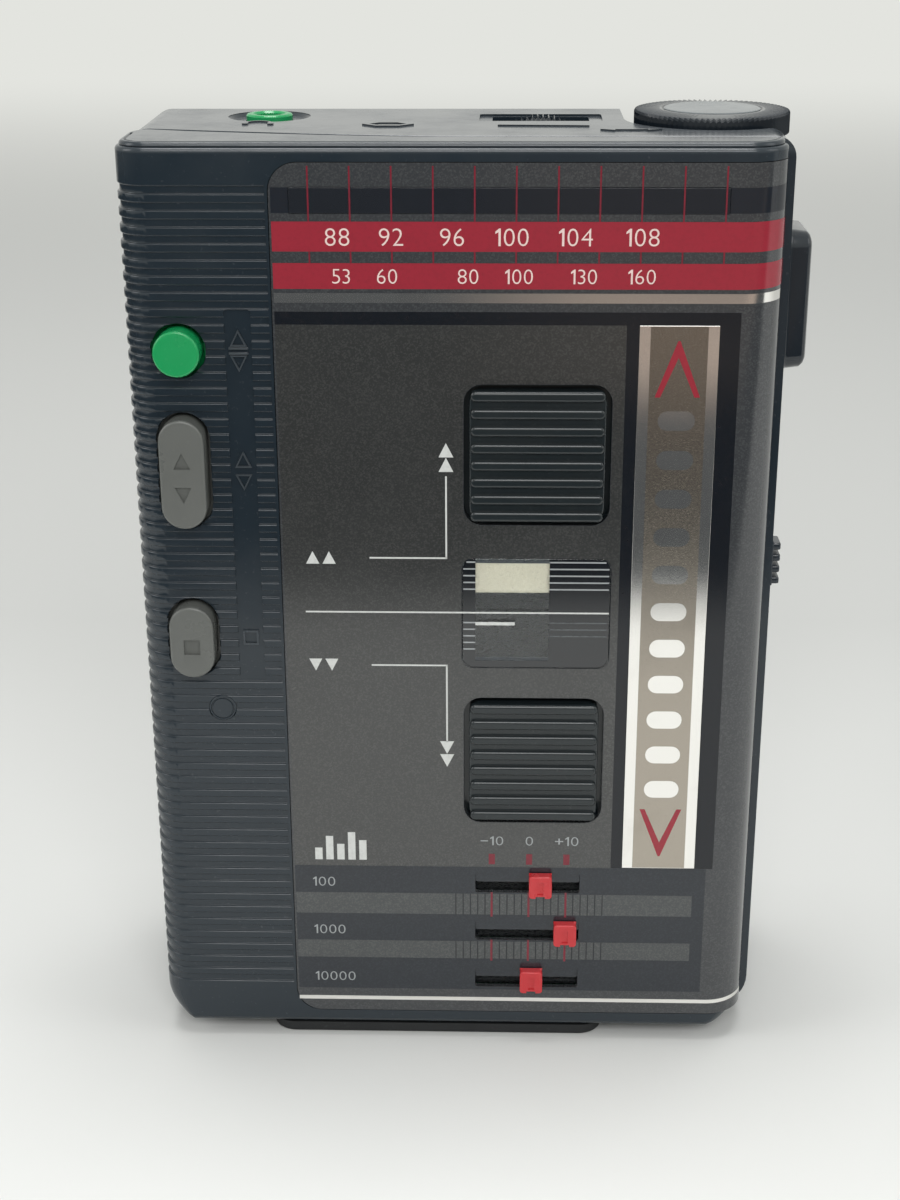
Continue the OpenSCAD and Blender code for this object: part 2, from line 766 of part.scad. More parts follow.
module tuning_capacitor() {
  color("#d9d6cc") difference() {
    box(tune_x - 7.2, in_right - 1.3, wheel_y + 0.4, board_y, capacitor_low, top - 11);
    rod_z(tune_x, tune_y, 1.5 + run_gap, top - 14, top - 10);
  }
}

module dial_rail() {
  color("#b2b5b8") {
    box(roller_x[0] + 3, roller_x[1] - 4, cord_front - 0.4, cord_front + 1.2, rail_z, rail_z + 0.8);
    for (x = [hub_x - 8, roller_x[1] - 8])
      box(x, x + 3, cord_front - 0.4, cord_front + 1.2, rail_z + 0.8, in_top);
  }
}

module dial_cord() {
  c = [[tune_x, tune_y], guide_at, [roller_x[0], roller_y], [roller_x[1], roller_y]];
  r = [drum_r, -roller_r, roller_r, roller_r];
  w = 2 * cord_r;
  near = 0.1;
  color("#e6e2d6") along_z(cord_z - cord_r, cord_z + cord_r) difference() {
    polygon(belt_pts(c, [for (v = r) v + sign(v) * near + (v > 0 ? w : 0)]));
    polygon(belt_pts(c, [for (v = r) v + sign(v) * near - (v < 0 ? w : 0)]));
  }
}

module cord_rollers() {
  color("#d4d0c4") for (p = [guide_at, [roller_x[0], roller_y], [roller_x[1], roller_y]]) {
    rod_z(p[0], p[1], roller_r, cord_z - 1.2, cord_z + 1.2);
    rod_z(p[0], p[1], roller_axle_r, cord_z + 1.2, in_top);
  }
}

module ferrite_rod() {
  x = motor_x + 2;
  y = board_y - 4;
  z0 = motor_z + motor_r + 5;
  z1 = capacitor_low - 4.5;
  color("#33302e") {
    rod_z(x, y, 3.4, z0, z1);
    for (z = [z0 + 2, z1 - 5]) box(x - 2, x + 2, y, board_y, z, z + 3);
  }
}

module selector_body() {
  x0 = in_right - 4.2;
  color("#9a9ea3") difference() {
    box(x0, in_right - 0.4, wheel_y, selector_y + 2.4, selector_z - 7, selector_z + 7);
    box(x0 + 1.2, in_right, selector_y - 0.7 - gap, selector_y + 0.7 + gap,
      selector_z - 1.5 - selector_travel - gap, selector_z + 1.5 + selector_travel + gap);
  }
}

// Sub-parts of the lid

module lid_shell() {
  color("#20262c") difference() {
    intersection() {
      along_z(base, top) lid_plan(0);
      along_y(front, 0) case_front(lid_right);
      lid_side();
    }
    along_z(base + lid_wall, top - lid_wall) lid_hollow();
    plate_space(plate_t, 0);
    along_y(front - over, lid_in + over) {
      plate_holes(seat);
      key_holes();
    }
    rib_grooves();
    box(plate_left - 6, plate_left - 2.7, front - over, front + rib_depth, stop_z - 7, direction_z + 4);
    for (z = ear_z) rod_z(hinge_x, hinge_y, ear_cut_r, z - ear_h / 2 - gap, z + ear_h / 2 + gap);
    rod_z(hinge_x, hinge_y, hinge_pin_r + run_gap, base + lid_wall, top - lid_wall);
  }
}

module lid_side() {
  r = rim_r;
  along_x(left, right) polygon(concat(arc(front + r, top - r, r, 180, 90), [[0, top], [0, base]],
    arc(front + r, base + r, r, 270, 180)));
}

// The layer of the lid's face that the printed plate fills.
module plate_space(depth, grow) {
  intersection() {
    along_z(base, top) difference() {
      lid_plan(-grow);
      lid_plan(depth);
    }
    along_y(front - over, 0) plate_front(grow);
    box(plate_left - over, right + over, front - over, seam(right), base, top);
  }
}

module face_plate() {
  color("#33363a") difference() {
    plate_space(plate_t, 0);
    along_y(front - over, lid_in) plate_holes(0);
    box(trim_x0, trim_x1, front - over, front + trim_t, trim_z0, trim_z1);
  }
}

module cassette_window() {
  color("#56626a", 0.4) along_y(front, plate_back)
    polygon(round_pts(window_x0, window_z0, window_x1, window_z1, window_round));
}

// Felt strip stuck behind the window, which keeps a cassette from rattling against the lid.
module cassette_cushion() {
  color("#d8cfae") box(cushion_x0, cushion_x0 + cushion_w, plate_back,
    cassette_back - cassette_d - cushion_gap, cushion_z0, cushion_z1);
}

module dial_lens() {
  color("#56626a", 0.4) box(dial_x0, dial_x1, front, plate_back, dial_z0, dial_z1);
}

module trim_strip() {
  color("#c8c6c0") box(trim_x0, trim_x1, front, front + trim_t, trim_z0, trim_z1);
}

module indicator_lens() {
  color("#14171a") rod_y(lens_x, lens_z, lens_r, front + 0.3, lid_in);
}

module eq_board() {
  color("#2f5a3c") box(eq_slot_x - pot_len / 2 - 1, eq_slot_x + pot_len / 2 + 12, pot_y + pot_d,
    pot_y + pot_d + 1, base + lid_wall + 0.5, eq_z[2] + pot_h / 2 + 1);
}

module eq_pots() {
  color("#8d9196") difference() {
    union() {
      for (z = eq_z) box(eq_slot_x - pot_len / 2, eq_slot_x + pot_len / 2, pot_y, pot_y + pot_d,
        z - pot_h / 2, z + pot_h / 2);
      for (x = [eq_slot_x - pot_len / 2, eq_slot_x + pot_len / 2 - 1.2]) box(x, x + 1.2, lid_in, pot_y,
        eq_z[0] - pot_h / 2, eq_z[2] + pot_h / 2);
    }
    for (z = eq_z) box(eq_slot_x - slot_len / 2, eq_slot_x + slot_len / 2, pot_y - over, pot_y + pot_d - 0.4,
      z - eq_stem_h / 2 - gap, z + eq_stem_h / 2 + gap);
  }
}

module pad_springs() {
  leaf_y = lid_in + 0.1 + 1 + pad_travel + gap;
  post = pad_flange / 2 + 0.5;
  color("#c4c7c9") for (z = pad_z) {
    box(pad_x - post - 1.2, pad_x + post + 1.2, leaf_y, leaf_y + 0.3, z - 1.7, z + 1.7);
    for (x = [pad_x - post - 1.2, pad_x + post]) box(x, x + 1.2, lid_in, leaf_y, z - 1.7, z + 1.7);
  }
}

module cassette_springs() {
  leaf_t = 0.3;
  leaf_w = 4;
  tab = 3;
  bow_r = 7.2;
  bow_y = lid_in - 4.5;
  apart = 72;
  x0 = plate_left + 1;
  x1 = x0 + 20;
  bow_x = (x0 + x1) / 2;
  rear = lid_in + leaf_t;
  color("#c4c7c9") for (z = [mid_z - apart / 2, mid_z + apart / 2]) along_z(z, z + leaf_w) polygon(concat(
    [[x0, lid_in], [x0 + tab, lid_in]], arc(bow_x, bow_y, bow_r, 140, 40, 8),
    [[x1 - tab, lid_in], [x1, lid_in], [x1, rear], [x1 - tab, rear]],
    arc(bow_x, bow_y, bow_r + leaf_t, 40, 140, 8), [[x0 + tab, rear], [x0, rear]]));
}

// Sub-parts that ride on the lid

// What a button has behind the wall: a lip that keeps it in and a stem towards the deck.
module key_stem(z, head_h) {
  y0 = lid_in + lip_gap;
  half = head_h / 2 + 0.9;
  box(lip_left, lip_right, y0, y0 + flange_t, z - half, z + half);
  box(stem_x0, stem_x0 + stem_w, y0, stem_end, z - stem_h / 2, z + stem_h / 2);
}

module play_button() {
  color("#6f716e") {
    along_y(front - key_proud, lid_in + lip_gap + 0.1) capsule(key_x, play_z, key_w, play_h);
    key_stem(play_z, play_h);
  }
}

module stop_button() {
  color("#6f716e") {
    along_y(front - key_proud, lid_in + lip_gap + 0.1) capsule(key_x, stop_z, key_w, stop_h);
    key_stem(stop_z, stop_h);
  }
}

module direction_button() {
  color("#1fa05c") {
    rod_y(key_x, direction_z, direction_r, front - key_proud, lid_in + lip_gap + 0.1);
    key_stem(direction_z, 2 * direction_r);
  }
}

// A fast-wind pad: ribbed face, lip behind the wall, and an arm with a push pin beside the cassette.
module wind_pad(z, push_z) {
  y0 = lid_in + 0.1;
  half = pad_w / 2;
  ribs = 8;
  pitch = pad_w / ribs;
  rib_edge = [[0.45, 0.48], [0, 0.25], [0, -0.25], [0.45, -0.48]];
  along_x(pad_x - half, pad_x + half) polygon(concat([[y0 + 0.1, z - half], [y0 + 0.1, z + half]],
    [for (i = [ribs - 1:-1:0]) let (c = z - half + pitch * (i + 0.5))
      for (p = rib_edge) [front - pad_proud + p[0], c + p[1] * pitch]]));
  box(pad_x - pad_flange / 2, pad_x + pad_flange / 2, y0, y0 + 1, z - pad_flange / 2, z + pad_flange / 2);
  box(push_x - push_r, pad_x - pad_flange / 2 + over, y0, y0 + 1, push_z - arm_w / 2, push_z + arm_w / 2);
  rod_y(push_x, push_z, push_r, y0 + 0.2, stem_end);
}

module upper_pad() {
  color("#17191b") wind_pad(pad_z[1], arm_z[1]);
}

module lower_pad() {
  color("#17191b") wind_pad(pad_z[0], arm_z[0]);
}

module eq_slider(i) {
  x = eq_slot_x + eq_rest[i];
  z = eq_z[i];
  w = eq_knob_w / 2;
  h = eq_knob_h / 2;
  along_y(front - eq_proud, front - 0.2) polygon([[x - w, z - h], [x - 0.5, z - h], [x, z - h + 0.9],
    [x + 0.5, z - h], [x + w, z - h], [x + w, z + h], [x - w, z + h]]);
  box(x - eq_stem_w / 2, x + eq_stem_w / 2, front - 0.4, pot_y + pot_d - 0.8,
    z - eq_stem_h / 2, z + eq_stem_h / 2);
}

module eq_slider_low() {
  color("#d8363f") eq_slider(0);
}

module eq_slider_mid() {
  color("#d8363f") eq_slider(1);
}

module eq_slider_high() {
  color("#d8363f") eq_slider(2);
}

// Moving sub-parts of the cabinet

module battery_cover() {
  r = wall / 2;
  color("#20262c") {
    along_z(cover_z0, cover_z1) polygon(concat([[cover_x1, in_back], [cover_x1, back]],
      arc(cover_x0 + r, back - r, r, 90, 270, 12)));
    rod_z(cover_x0 + r, back - r, cover_pin_r, cover_z0 - 1.2, cover_z1 + 1.2);
  }
}

module flywheel(z) {
  rod_y(capstan_x, z, flywheel_r, fly_y, fly_y + fly_t);
  rod_y(capstan_x, z, boss_wheel_r, wheel_y, fly_y);
  rod_y(capstan_x, z, capstan_r, tape_y - 4.5, bracket_y + bracket_t + 0.3);
}

module flywheel_lower() {
  color("#b08d4c") flywheel(capstan_z[0]);
}

module flywheel_upper() {
  color("#b08d4c") flywheel(capstan_z[1]);
}

module motor_pulley() {
  color("#b08d4c") {
    rod_y(motor_x, motor_z, pulley_r, belt_y - 0.5, belt_y + belt_w + 0.5);
    rod_y(motor_x, motor_z, 0.8, belt_y, bracket_y + 3.8);
  }
}

module belt_roller() {
  color("#d4d0c4") difference() {
    rod_y(guide_x, guide_z, guide_r, belt_y - 0.5, belt_y + belt_w + 0.3);
    rod_y(guide_x, guide_z, stud_r + run_gap, belt_y - over, belt_y + belt_w + over);
  }
}

module reel_idler() {
  color("#2b2b2b") difference() {
    rod_y(idler_x, idler_z, idler_r, wheel_y, wheel_y + wheel_t);
    rod_y(idler_x, idler_z, stud_r + run_gap, wheel_y - over, wheel_y + wheel_t + over);
  }
}

module reel(z) {
  tip = reel_tip;
  rod_y(hub_x, z, reel_r, wheel_y, wheel_y + wheel_t);
  rod_y(hub_x, z, spindle_r, tip, wheel_y);
  rod_y(hub_x, z, 3.1, tip + 1, deck_y - gap);
  for (a = [0, 120, 240]) translate([hub_x, 0, z]) rotate([0, a, 0])
    box(0, 4.3, tip + 2, deck_y - 0.5, -0.55, 0.55);
}

module reel_upper() {
  color("#dcdad2") reel(reel_z[1]);
}

module reel_lower() {
  color("#dcdad2") reel(reel_z[0]);
}

// The head plate slides towards the cassette; the play stem pushes its wedge.
module head_plate() {
  y1 = head_y + head_t;
  tip_y = stem_end + 0.4;
  face = stem_x0 + stem_w + wedge * stem_end + 0.5;
  wedge_x1 = head_x1 - 1.4;
  color("#b9bdc2") difference() {
    union() {
      box(head_x0, head_x1, head_y, y1, mid_z - head_half, mid_z + head_half);
      along_z(play_z - stem_h / 2, play_z + stem_h / 2) polygon([[face - wedge * tip_y, tip_y],
        [wedge_x1, tip_y], [wedge_x1, head_y + 0.4], [stem_x0, head_y + 0.4],
        [stem_x0, (face - stem_x0) / wedge]]);
      for (z = capstan_z) {
        box(head_x1 - over, pinch_x + 1.4, head_y, y1, z - 1.6, z + 1.6);
        rod_y(pinch_x, z, stud_r, pinch_y0 - 0.3, head_y + 0.4);
      }
    }
    for (s = [-1, 1]) along_y(head_y - over, y1 + over) {
      z = mid_z + s * guide_half;
      polygon(round_pts(guide_pin_x - head_travel - 1.2, z - 1.15, guide_pin_x + 1.2, z + 1.15, 1.1));
    }
    for (z = arm_z) box(push_x - 1.4 - head_travel - gap, head_x1 + over, head_y - over, y1 + over,
      z - switch_h / 2 - gap, z + switch_h / 2 + gap);
  }
}

module tape_head() {
  x0 = head_x1 - tape_head_tail;
  color("#d7d9db") {
    box(x0, tape_head_x - 2, tape_head_y, head_y, mid_z - tape_head_half, mid_z + tape_head_half);
    intersection() {
      box(tape_head_x - 2.1, tape_head_x, tape_head_y, head_y - 0.4,
        mid_z - tape_head_half, mid_z + tape_head_half);
      rod_y(tape_head_x - 10, mid_z, 10, tape_head_y, head_y - 0.4);
    }
  }
}

module pinch_roller(z) {
  difference() {
    rod_y(pinch_x, z, pinch_r, pinch_y0, pinch_y1);
    rod_y(pinch_x, z, stud_r + run_gap, pinch_y0 - over, pinch_y1 + over);
  }
}

module pinch_roller_upper() {
  color("#242424") pinch_roller(capstan_z[1]);
}

module pinch_roller_lower() {
  color("#242424") pinch_roller(capstan_z[0]);
}

// The latch plate drops when the stop stem pushes its wedge.
module latch_plate() {
  y1 = head_y - 0.4;
  y0 = y1 - 0.8;
  tip_y = stem_end + 0.4;
  low = stop_z - stem_h / 2;
  face = low - 0.4 - stem_end;
  color("#b9bdc2") {
    box(stem_x0 - 0.6, stem_x0 + stem_w + 0.1, y0, y1, mid_z - 12.5, mid_z + 7.5);
    along_x(stem_x0, stem_x0 + stem_w) polygon([[tip_y, face + tip_y], [tip_y, face + tip_y - 3],
      [y0 + 0.2, face + tip_y - 3], [y0 + 0.2, face + y0 + 0.2]]);
  }
}

module tuning_knob() {
  color("#24282d") {
    translate([tune_x, tune_y, 0]) along_z(shelf_z + 0.9, rim_z)
      polygon(tooth_pts(44, tune_r, tune_r - 0.4));
    translate([tune_x, tune_y, rim_z]) cylinder(r1 = tune_r - 0.6, r2 = tune_r - 3.4, h = 0.5);
    rod_z(tune_x, tune_y, tune_r - 3.6, rim_z + 0.4, rim_z + 0.7);
    rod_z(tune_x, tune_y, 2.5, drum_z + drum_h, shelf_z + over);
  }
}

module tuning_drum() {
  color("#d4d0c4") {
    rod_z(tune_x, tune_y, drum_r, drum_z, drum_z + drum_h);
    rod_z(tune_x, tune_y, 1.5, top - 13.6, drum_z);
  }
}

module dial_pointer() {
  x = pointer_rest;
  color("#d8363f") {
    box(x - 0.5, x + 0.5, pointer_y, pointer_y + 0.6, dial_z0 - 0.6, rail_z - gap);
    box(x - 1.5, x + 1.5, pointer_y, cord_front + 1.2, rail_z - gap - 0.8, rail_z - gap);
    box(x - 1.5, x + 1.5, cord_front - 0.9, cord_front - 0.4, cord_z - 1, rail_z - gap);
  }
}

module volume_wheel() {
  bore = 1.5 + run_gap;
  color("#24282d") difference() {
    translate([volume_x, 0, volume_z]) along_y(volume_y - volume_t / 2, volume_y + volume_t / 2)
      polygon(tooth_pts(36, volume_r, volume_r - 0.5));
    rod_y(volume_x, volume_z, bore, volume_y - volume_t / 2 + 0.2, back);
  }
}

module lid_release() {
  x0 = right + 0.2;
  x1 = right + release_proud;
  r = 2;
  color("#171c21") {
    intersection() {
      along_y(release_y0, release_y1) polygon(concat([[x0, release_z1], [x0, release_z0]],
        arc(x1 - r, release_z0 + r, r, 270, 360), arc(x1 - r, release_z1 - r, r, 0, 90)));
      along_z(release_z0, release_z1) polygon(concat([[x0, release_y1], [x0, release_y0]],
        arc(x1 - r, release_y0 + r, r, 270, 360), arc(x1 - r, release_y1 - r, r, 0, 90)));
    }
    box(in_right - 0.1, x0 + over, release_stem_y[0], release_stem_y[1],
      release_stem_z - 2, release_stem_z + 2);
  }
}

module latch_strip() {
  x1 = in_right - 0.1;
  color("#b9bdc2") {
    box(x1 - strip_t, x1, seam(right) + 1.6, release_stem_y[1] + 0.6, release_stem_z - 3, release_stem_z + 3);
    box(x1 - strip_t, x1, seam(right) + 0.6, seam(right) + 1.6, release_stem_z + 1, release_stem_z + 3);
  }
}

module selector_knob() {
  x0 = right + 0.2;
  x1 = right + selector_proud;
  h = selector_h / 2;
  ribs = 4;
  pitch = selector_h / ribs;
  color("#24282d") {
    along_y(selector_y - selector_w / 2, selector_y + selector_w / 2) polygon(concat(
      [[x0, selector_z + h], [x0, selector_z - h]],
      [for (i = [0:ribs - 1]) let (z = selector_z - h + pitch * i)
        for (p = [[0.5, 0.02], [0, 0.25], [0, 0.75], [0.5, 0.98]]) [x1 - p[0], z + p[1] * pitch]]));
    box(in_right - 2.5, x0 + 0.2, selector_y - 0.7, selector_y + 0.7, selector_z - 1.5, selector_z + 1.5);
  }
}

rear_cabinet();
base_foot();
hinge_pin();
case_screws();
battery_tub();
battery_contacts();
main_board();
board_parts();
mechanism_plate();
flywheel_bracket();
drive_motor();
drive_belt();
key_switches();
phone_jack();
volume_pot();
tuning_capacitor();
dial_rail();
dial_cord();
cord_rollers();
ferrite_rod();
selector_body();
lid_shell();
face_plate();
cassette_window();
cassette_cushion();
dial_lens();
trim_strip();
indicator_lens();
eq_board();
eq_pots();
pad_springs();
cassette_springs();
play_button();
stop_button();
direction_button();
upper_pad();
lower_pad();
eq_slider_low();
eq_slider_mid();
eq_slider_high();
battery_cover();
flywheel_lower();
flywheel_upper();
motor_pulley();
belt_roller();
reel_idler();
reel_upper();
reel_lower();
head_plate();
tape_head();
pinch_roller_upper();
pinch_roller_lower();
latch_plate();
tuning_knob();
tuning_drum();
dial_pointer();
volume_wheel();
lid_release();
latch_strip();
selector_knob();
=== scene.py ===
"""Looks of a portable radio cassette player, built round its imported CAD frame.

Lengths are millimetres in the part's own frame (front to -Y, +Z up) until a piece is finished,
and then become metres.
"""

import json
import math
from collections import namedtuple

import bmesh
import bpy
from mathutils import Matrix, Vector


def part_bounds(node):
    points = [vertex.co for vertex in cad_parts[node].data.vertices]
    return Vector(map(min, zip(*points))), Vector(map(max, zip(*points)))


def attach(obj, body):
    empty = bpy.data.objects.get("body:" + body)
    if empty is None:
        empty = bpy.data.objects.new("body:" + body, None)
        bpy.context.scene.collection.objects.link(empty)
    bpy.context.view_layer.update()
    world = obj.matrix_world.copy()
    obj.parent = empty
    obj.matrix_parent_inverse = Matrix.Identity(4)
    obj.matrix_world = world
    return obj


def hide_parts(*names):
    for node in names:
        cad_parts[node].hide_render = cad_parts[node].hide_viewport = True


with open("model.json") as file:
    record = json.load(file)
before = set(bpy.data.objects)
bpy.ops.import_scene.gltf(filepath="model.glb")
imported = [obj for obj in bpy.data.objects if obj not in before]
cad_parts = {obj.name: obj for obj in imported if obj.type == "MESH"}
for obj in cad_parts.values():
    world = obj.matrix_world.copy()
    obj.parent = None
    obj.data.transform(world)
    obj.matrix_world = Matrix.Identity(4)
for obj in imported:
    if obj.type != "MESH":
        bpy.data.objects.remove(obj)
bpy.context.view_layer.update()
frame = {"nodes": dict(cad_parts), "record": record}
NODES = frame["nodes"]
JOINTS = {joint["name"]: joint for joint in frame["record"]["behaviour"]["joints"]}
SLOT_OF = {part["node"]: part["material_slot"] for part in frame["record"]["subparts"]}
MM = 0.001


class Box(namedtuple("Box", "x0 x1 y0 y1 z0 z1")):
    """Limits of a part along the three axes, and the middles between them."""

    x = property(lambda self: (self.x0 + self.x1) / 2)
    y = property(lambda self: (self.y0 + self.y1) / 2)
    z = property(lambda self: (self.z0 + self.z1) / 2)


def box_of(node):
    low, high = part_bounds(node)
    return Box(*(value / MM for pair in zip(low, high) for value in pair))


def part_box(node, keep):
    """Box of those corners of a CAD node that keep(x, y, z) picks."""
    corners = [vert.co / MM for vert in NODES[node].data.vertices]
    corners = [c for c in corners if keep(*c)]
    return Box(*(f(c[i] for c in corners) for i in range(3) for f in (min, max)))


# The case's main sizes

cabinet = box_of("rear_cabinet")
lid = box_of("lid_shell")
plate = box_of("face_plate")
LEFT, RIGHT, BACK = cabinet.x0, cabinet.x1, cabinet.y1
BASE, TOP = cabinet.z0, cabinet.z1
FRONT, LID_RIGHT = lid.y0, lid.x1
HINGE_X, HINGE_Y = (JOINTS["lid_hinge"]["pos_m"][i] / MM for i in (0, 1))
BARREL_R = HINGE_X - LEFT
SEAM_SETBACK, SEAM_SWEEP, SEAM_GAP = 5.5, 7.0, 0.3
WALL, LID_WALL = 1.3, 2.0
STRIP_TURN, STRIP_STEPS, LID_TURN = 4.0, 12, 5.3
# The lid's turn stops short of 360 degrees, so that the leaning rear edge doesn't fold over it
LID_TURN_END = 350
RIM_R, TOP_ROUND, BOTTOM_ROUND, REAR_ROUND = 1.2, 2.5, 5.0, 2.5
BEAD_R, BEAD_NOTCH, SEAM_BREAK = 0.5, 0.12, 0.35
TURN_X = LID_RIGHT - LID_TURN
PLATE_T, PLATE_ROUND, PLATE_GAP = 0.8, 3.4, 0.1
EAR_Z, EAR_H, EAR_R = (BASE + 16, TOP - 16), 6.0, 2.3


def seam(x):
    return FRONT + SEAM_SETBACK + SEAM_SWEEP * (max(0.0, -x) / RIGHT) ** 1.5


# Outlines and meshes


def arc(cx, cy, r, start, end, steps=8):
    turns = (math.radians(start + (end - start) * i / steps) for i in range(steps + 1))
    return [(cx + r * math.cos(t), cy + r * math.sin(t)) for t in turns]


def rounded(x0, y0, x1, y1, r, steps=5):
    return (arc(x1 - r, y1 - r, r, 0, 90, steps) + arc(x0 + r, y1 - r, r, 90, 180, steps)
            + arc(x0 + r, y0 + r, r, 180, 270, steps) + arc(x1 - r, y0 + r, r, 270, 360, steps))


def framed(box, plane, grow, r, steps=5):
    """The rounded outline that a box has in a plane such as "xz", grown on all sides."""
    (u0, u1), (v0, v1) = ((getattr(box, axis + "0"), getattr(box, axis + "1")) for axis in plane)
    return rounded(u0 - grow, v0 - grow, u1 + grow, v1 + grow, r, steps)


def capsule(cx, cy, w, h, steps=14):
    """A round-ended outline, or a circle where it is no taller than wide."""
    r, d = w / 2, (h - w) / 2
    if d < 0.01:
        return arc(cx, cy, r, 0, 360, 2 * steps)[:-1]
    return arc(cx, cy + d, r, 0, 180, steps) + arc(cx, cy - d, r, 180, 360, steps)


def placed(points, axis, at):
    """Outline points set on the plane that crosses axis at that level."""
    if axis == "x":
        return [(at, u, v) for u, v in points]
    if axis == "y":
        return [(u, at, v) for u, v in points]
    return [(u, v, at) for u, v in points]


def loft(rings, closed=False):
    """A skin through rings of equally many points: flat ends, or joined end to end when closed."""
    bm = bmesh.new()
    rows = [[bm.verts.new(point) for point in ring] for ring in rings]
    pairs = list(zip(rows, rows[1:])) + ([(rows[-1], rows[0])] if closed else [])
    for a, b in pairs:
        for i in range(len(a)):
            j = (i + 1) % len(a)
            bm.faces.new((a[i], a[j], b[j], b[i]))
    if not closed:
        bm.faces.new(rows[0])
        bm.faces.new(rows[-1])
    bmesh.ops.recalc_face_normals(bm, faces=bm.faces)
    return bm


def prism(points, axis, start, end):
    return loft([placed(points, axis, start), placed(points, axis, end)])


def block(x0, x1, y0, y1, z0, z1, edge=0.0):
    """A box whose edges are rounded off by edge."""
    bm = prism([(x0, y0), (x1, y0), (x1, y1), (x0, y1)], "z", z0, z1)
    if edge:
        bmesh.ops.bevel(bm, geom=list(bm.edges), offset=edge, segments=3, profile=0.5, affect="EDGES")
    return bm


def turned(profile, centre, axis, steps=72, teeth=0, closed=False):
    """A body of revolution through (radius, level, tooth depth) rows; teeth sit on every other point.

    A fourth number in a row is how far the gaps between its teeth drop. A closed profile makes a ring."""
    rings = []
    steps = 2 * teeth or steps
    for r, level, depth, *drop in profile:
        ring = []
        for i in range(steps):
            t = 2 * math.pi * i / steps
            gap = i % 2
            reach = r - depth * gap
            spot = centre[0] + reach * math.cos(t), centre[1] + reach * math.sin(t)
            ring += placed([spot], axis, level - sum(drop) * gap)
        rings.append(ring)
    return loft(rings, closed)


def bevelled(outline, axis, base, face, edge, steps=4):
    """A raised form: outline(inset) drawn up from base to face, its face edge rounded by edge."""
    sign = 1 if face > base else -1
    rings = [placed(outline(0), axis, base)]
    for i in range(steps + 1):
        t = math.radians(90 * i / steps)
        rings.append(placed(outline(edge * (1 - math.cos(t))), axis, face - sign * edge * (1 - math.sin(t))))
    return loft(rings)


def sheet(outer, level, holes=()):
    """A flat printed area facing -Y, with holes."""
    bm = bmesh.new()
    for loop in (outer, *holes):
        verts = [bm.verts.new((x, level, z)) for x, z in loop]
        for a, b in zip(verts, verts[1:] + verts[:1]):
            bm.edges.new((a, b))
    bmesh.ops.triangle_fill(bm, edges=bm.edges, use_beauty=True, normal=(0, -1, 0))
    for face in bm.faces:
        if face.normal.y > 0:
            face.normal_flip()
    return bm


def merged(*parts):
    bm = bmesh.new()
    for part in parts:
        mesh = bpy.data.meshes.new("part")
        part.to_mesh(mesh)
        part.free()
        bm.from_mesh(mesh)
        bpy.data.meshes.remove(mesh)
    return bm


def solid(bm, name="form"):
    mesh = bpy.data.meshes.new(name)
    bm.to_mesh(mesh)
    bm.free()
    form = bpy.data.objects.new(name, mesh)
    bpy.context.scene.collection.objects.link(form)
    return form


def apply_modifiers(form):
    graph = bpy.context.evaluated_depsgraph_get()
    mesh = bpy.data.meshes.new_from_object(form.evaluated_get(graph))
    form.modifiers.clear()
    old, form.data = form.data, mesh
    bpy.data.meshes.remove(old)


def carve(form, *cutters, operation="DIFFERENCE"):
    """Cuts each mesh out of a form, joins it on, or keeps what they share."""
    for cutter in cutters:
        tool = solid(cutter)
        modifier = form.modifiers.new("cut", "BOOLEAN")
        modifier.object = tool
        modifier.operation = operation
        modifier.solver = "EXACT"
        apply_modifiers(form)
        bpy.data.objects.remove(tool)
    return form


def fuse(form, *parts):
    return carve(form, *parts, operation="UNION")


def soften(form, width, segments, angle=35):
    modifier = form.modifiers.new("edge", "BEVEL")
    modifier.width = width
    modifier.segments = segments
    modifier.limit_method = "ANGLE"
    modifier.angle_limit = math.radians(angle)
    apply_modifiers(form)
    return form


def behind(node, axis, level, keep=1):
    """What a CAD node has beyond a level of an axis, as a mesh with its cut closed."""
    bm = bmesh.new()
    bm.from_mesh(NODES[node].data)
    bm.transform(Matrix.Scale(1 / MM, 4))
    bmesh.ops.remove_doubles(bm, verts=bm.verts, dist=0.001)
    index = "xyz".index(axis)
    at = Vector((0, 0, 0))
    at[index] = level
    way = Vector((0, 0, 0))
    way[index] = -keep
    bmesh.ops.bisect_plane(bm, geom=[*bm.verts, *bm.edges, *bm.faces], plane_co=at, plane_no=way, clear_outer=True)
    bmesh.ops.holes_fill(bm, edges=[e for e in bm.edges if e.is_boundary])
    return bm


def piece(name, form, body, finish, replaced=(), smooth=35):
    """Hands a form over as a finished piece of the object: in metres, shaded, painted and riding on its body."""
    form = form if isinstance(form, bpy.types.Object) else solid(form)
    form.name = form.data.name = name
    form.data.transform(Matrix.Scale(MM, 4))
    form.data.shade_smooth()
    form.data.set_sharp_from_angle(angle=math.radians(smooth))
    form.modifiers.new("even shading", "WEIGHTED_NORMAL").keep_sharp = True
    apply_modifiers(form)
    form.data.name = name
    form.data.materials.clear()
    form.data.materials.append(finish)
    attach(form, body)
    if replaced:
        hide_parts(*replaced)
    return form


# Materials


def linear(code):
    """sRGB hex to linear colour."""
    values = [int(code[i:i + 2], 16) / 255 for i in (1, 3, 5)]
    return [v / 12.92 if v <= 0.04045 else ((v + 0.055) / 1.055) ** 2.4 for v in values] + [1.0]


def feed(tree, node, inputs):
    """Gives inputs a fixed value, a colour code, or a link from a socket or from a node's first live output."""
    for key, value in inputs.items():
        if isinstance(value, bpy.types.Node):
            value = next(socket for socket in value.outputs if socket.enabled)
        if isinstance(value, bpy.types.NodeSocket):
            tree.links.new(value, node.inputs[key])
        else:
            node.inputs[key].default_value = linear(value) if isinstance(value, str) else value


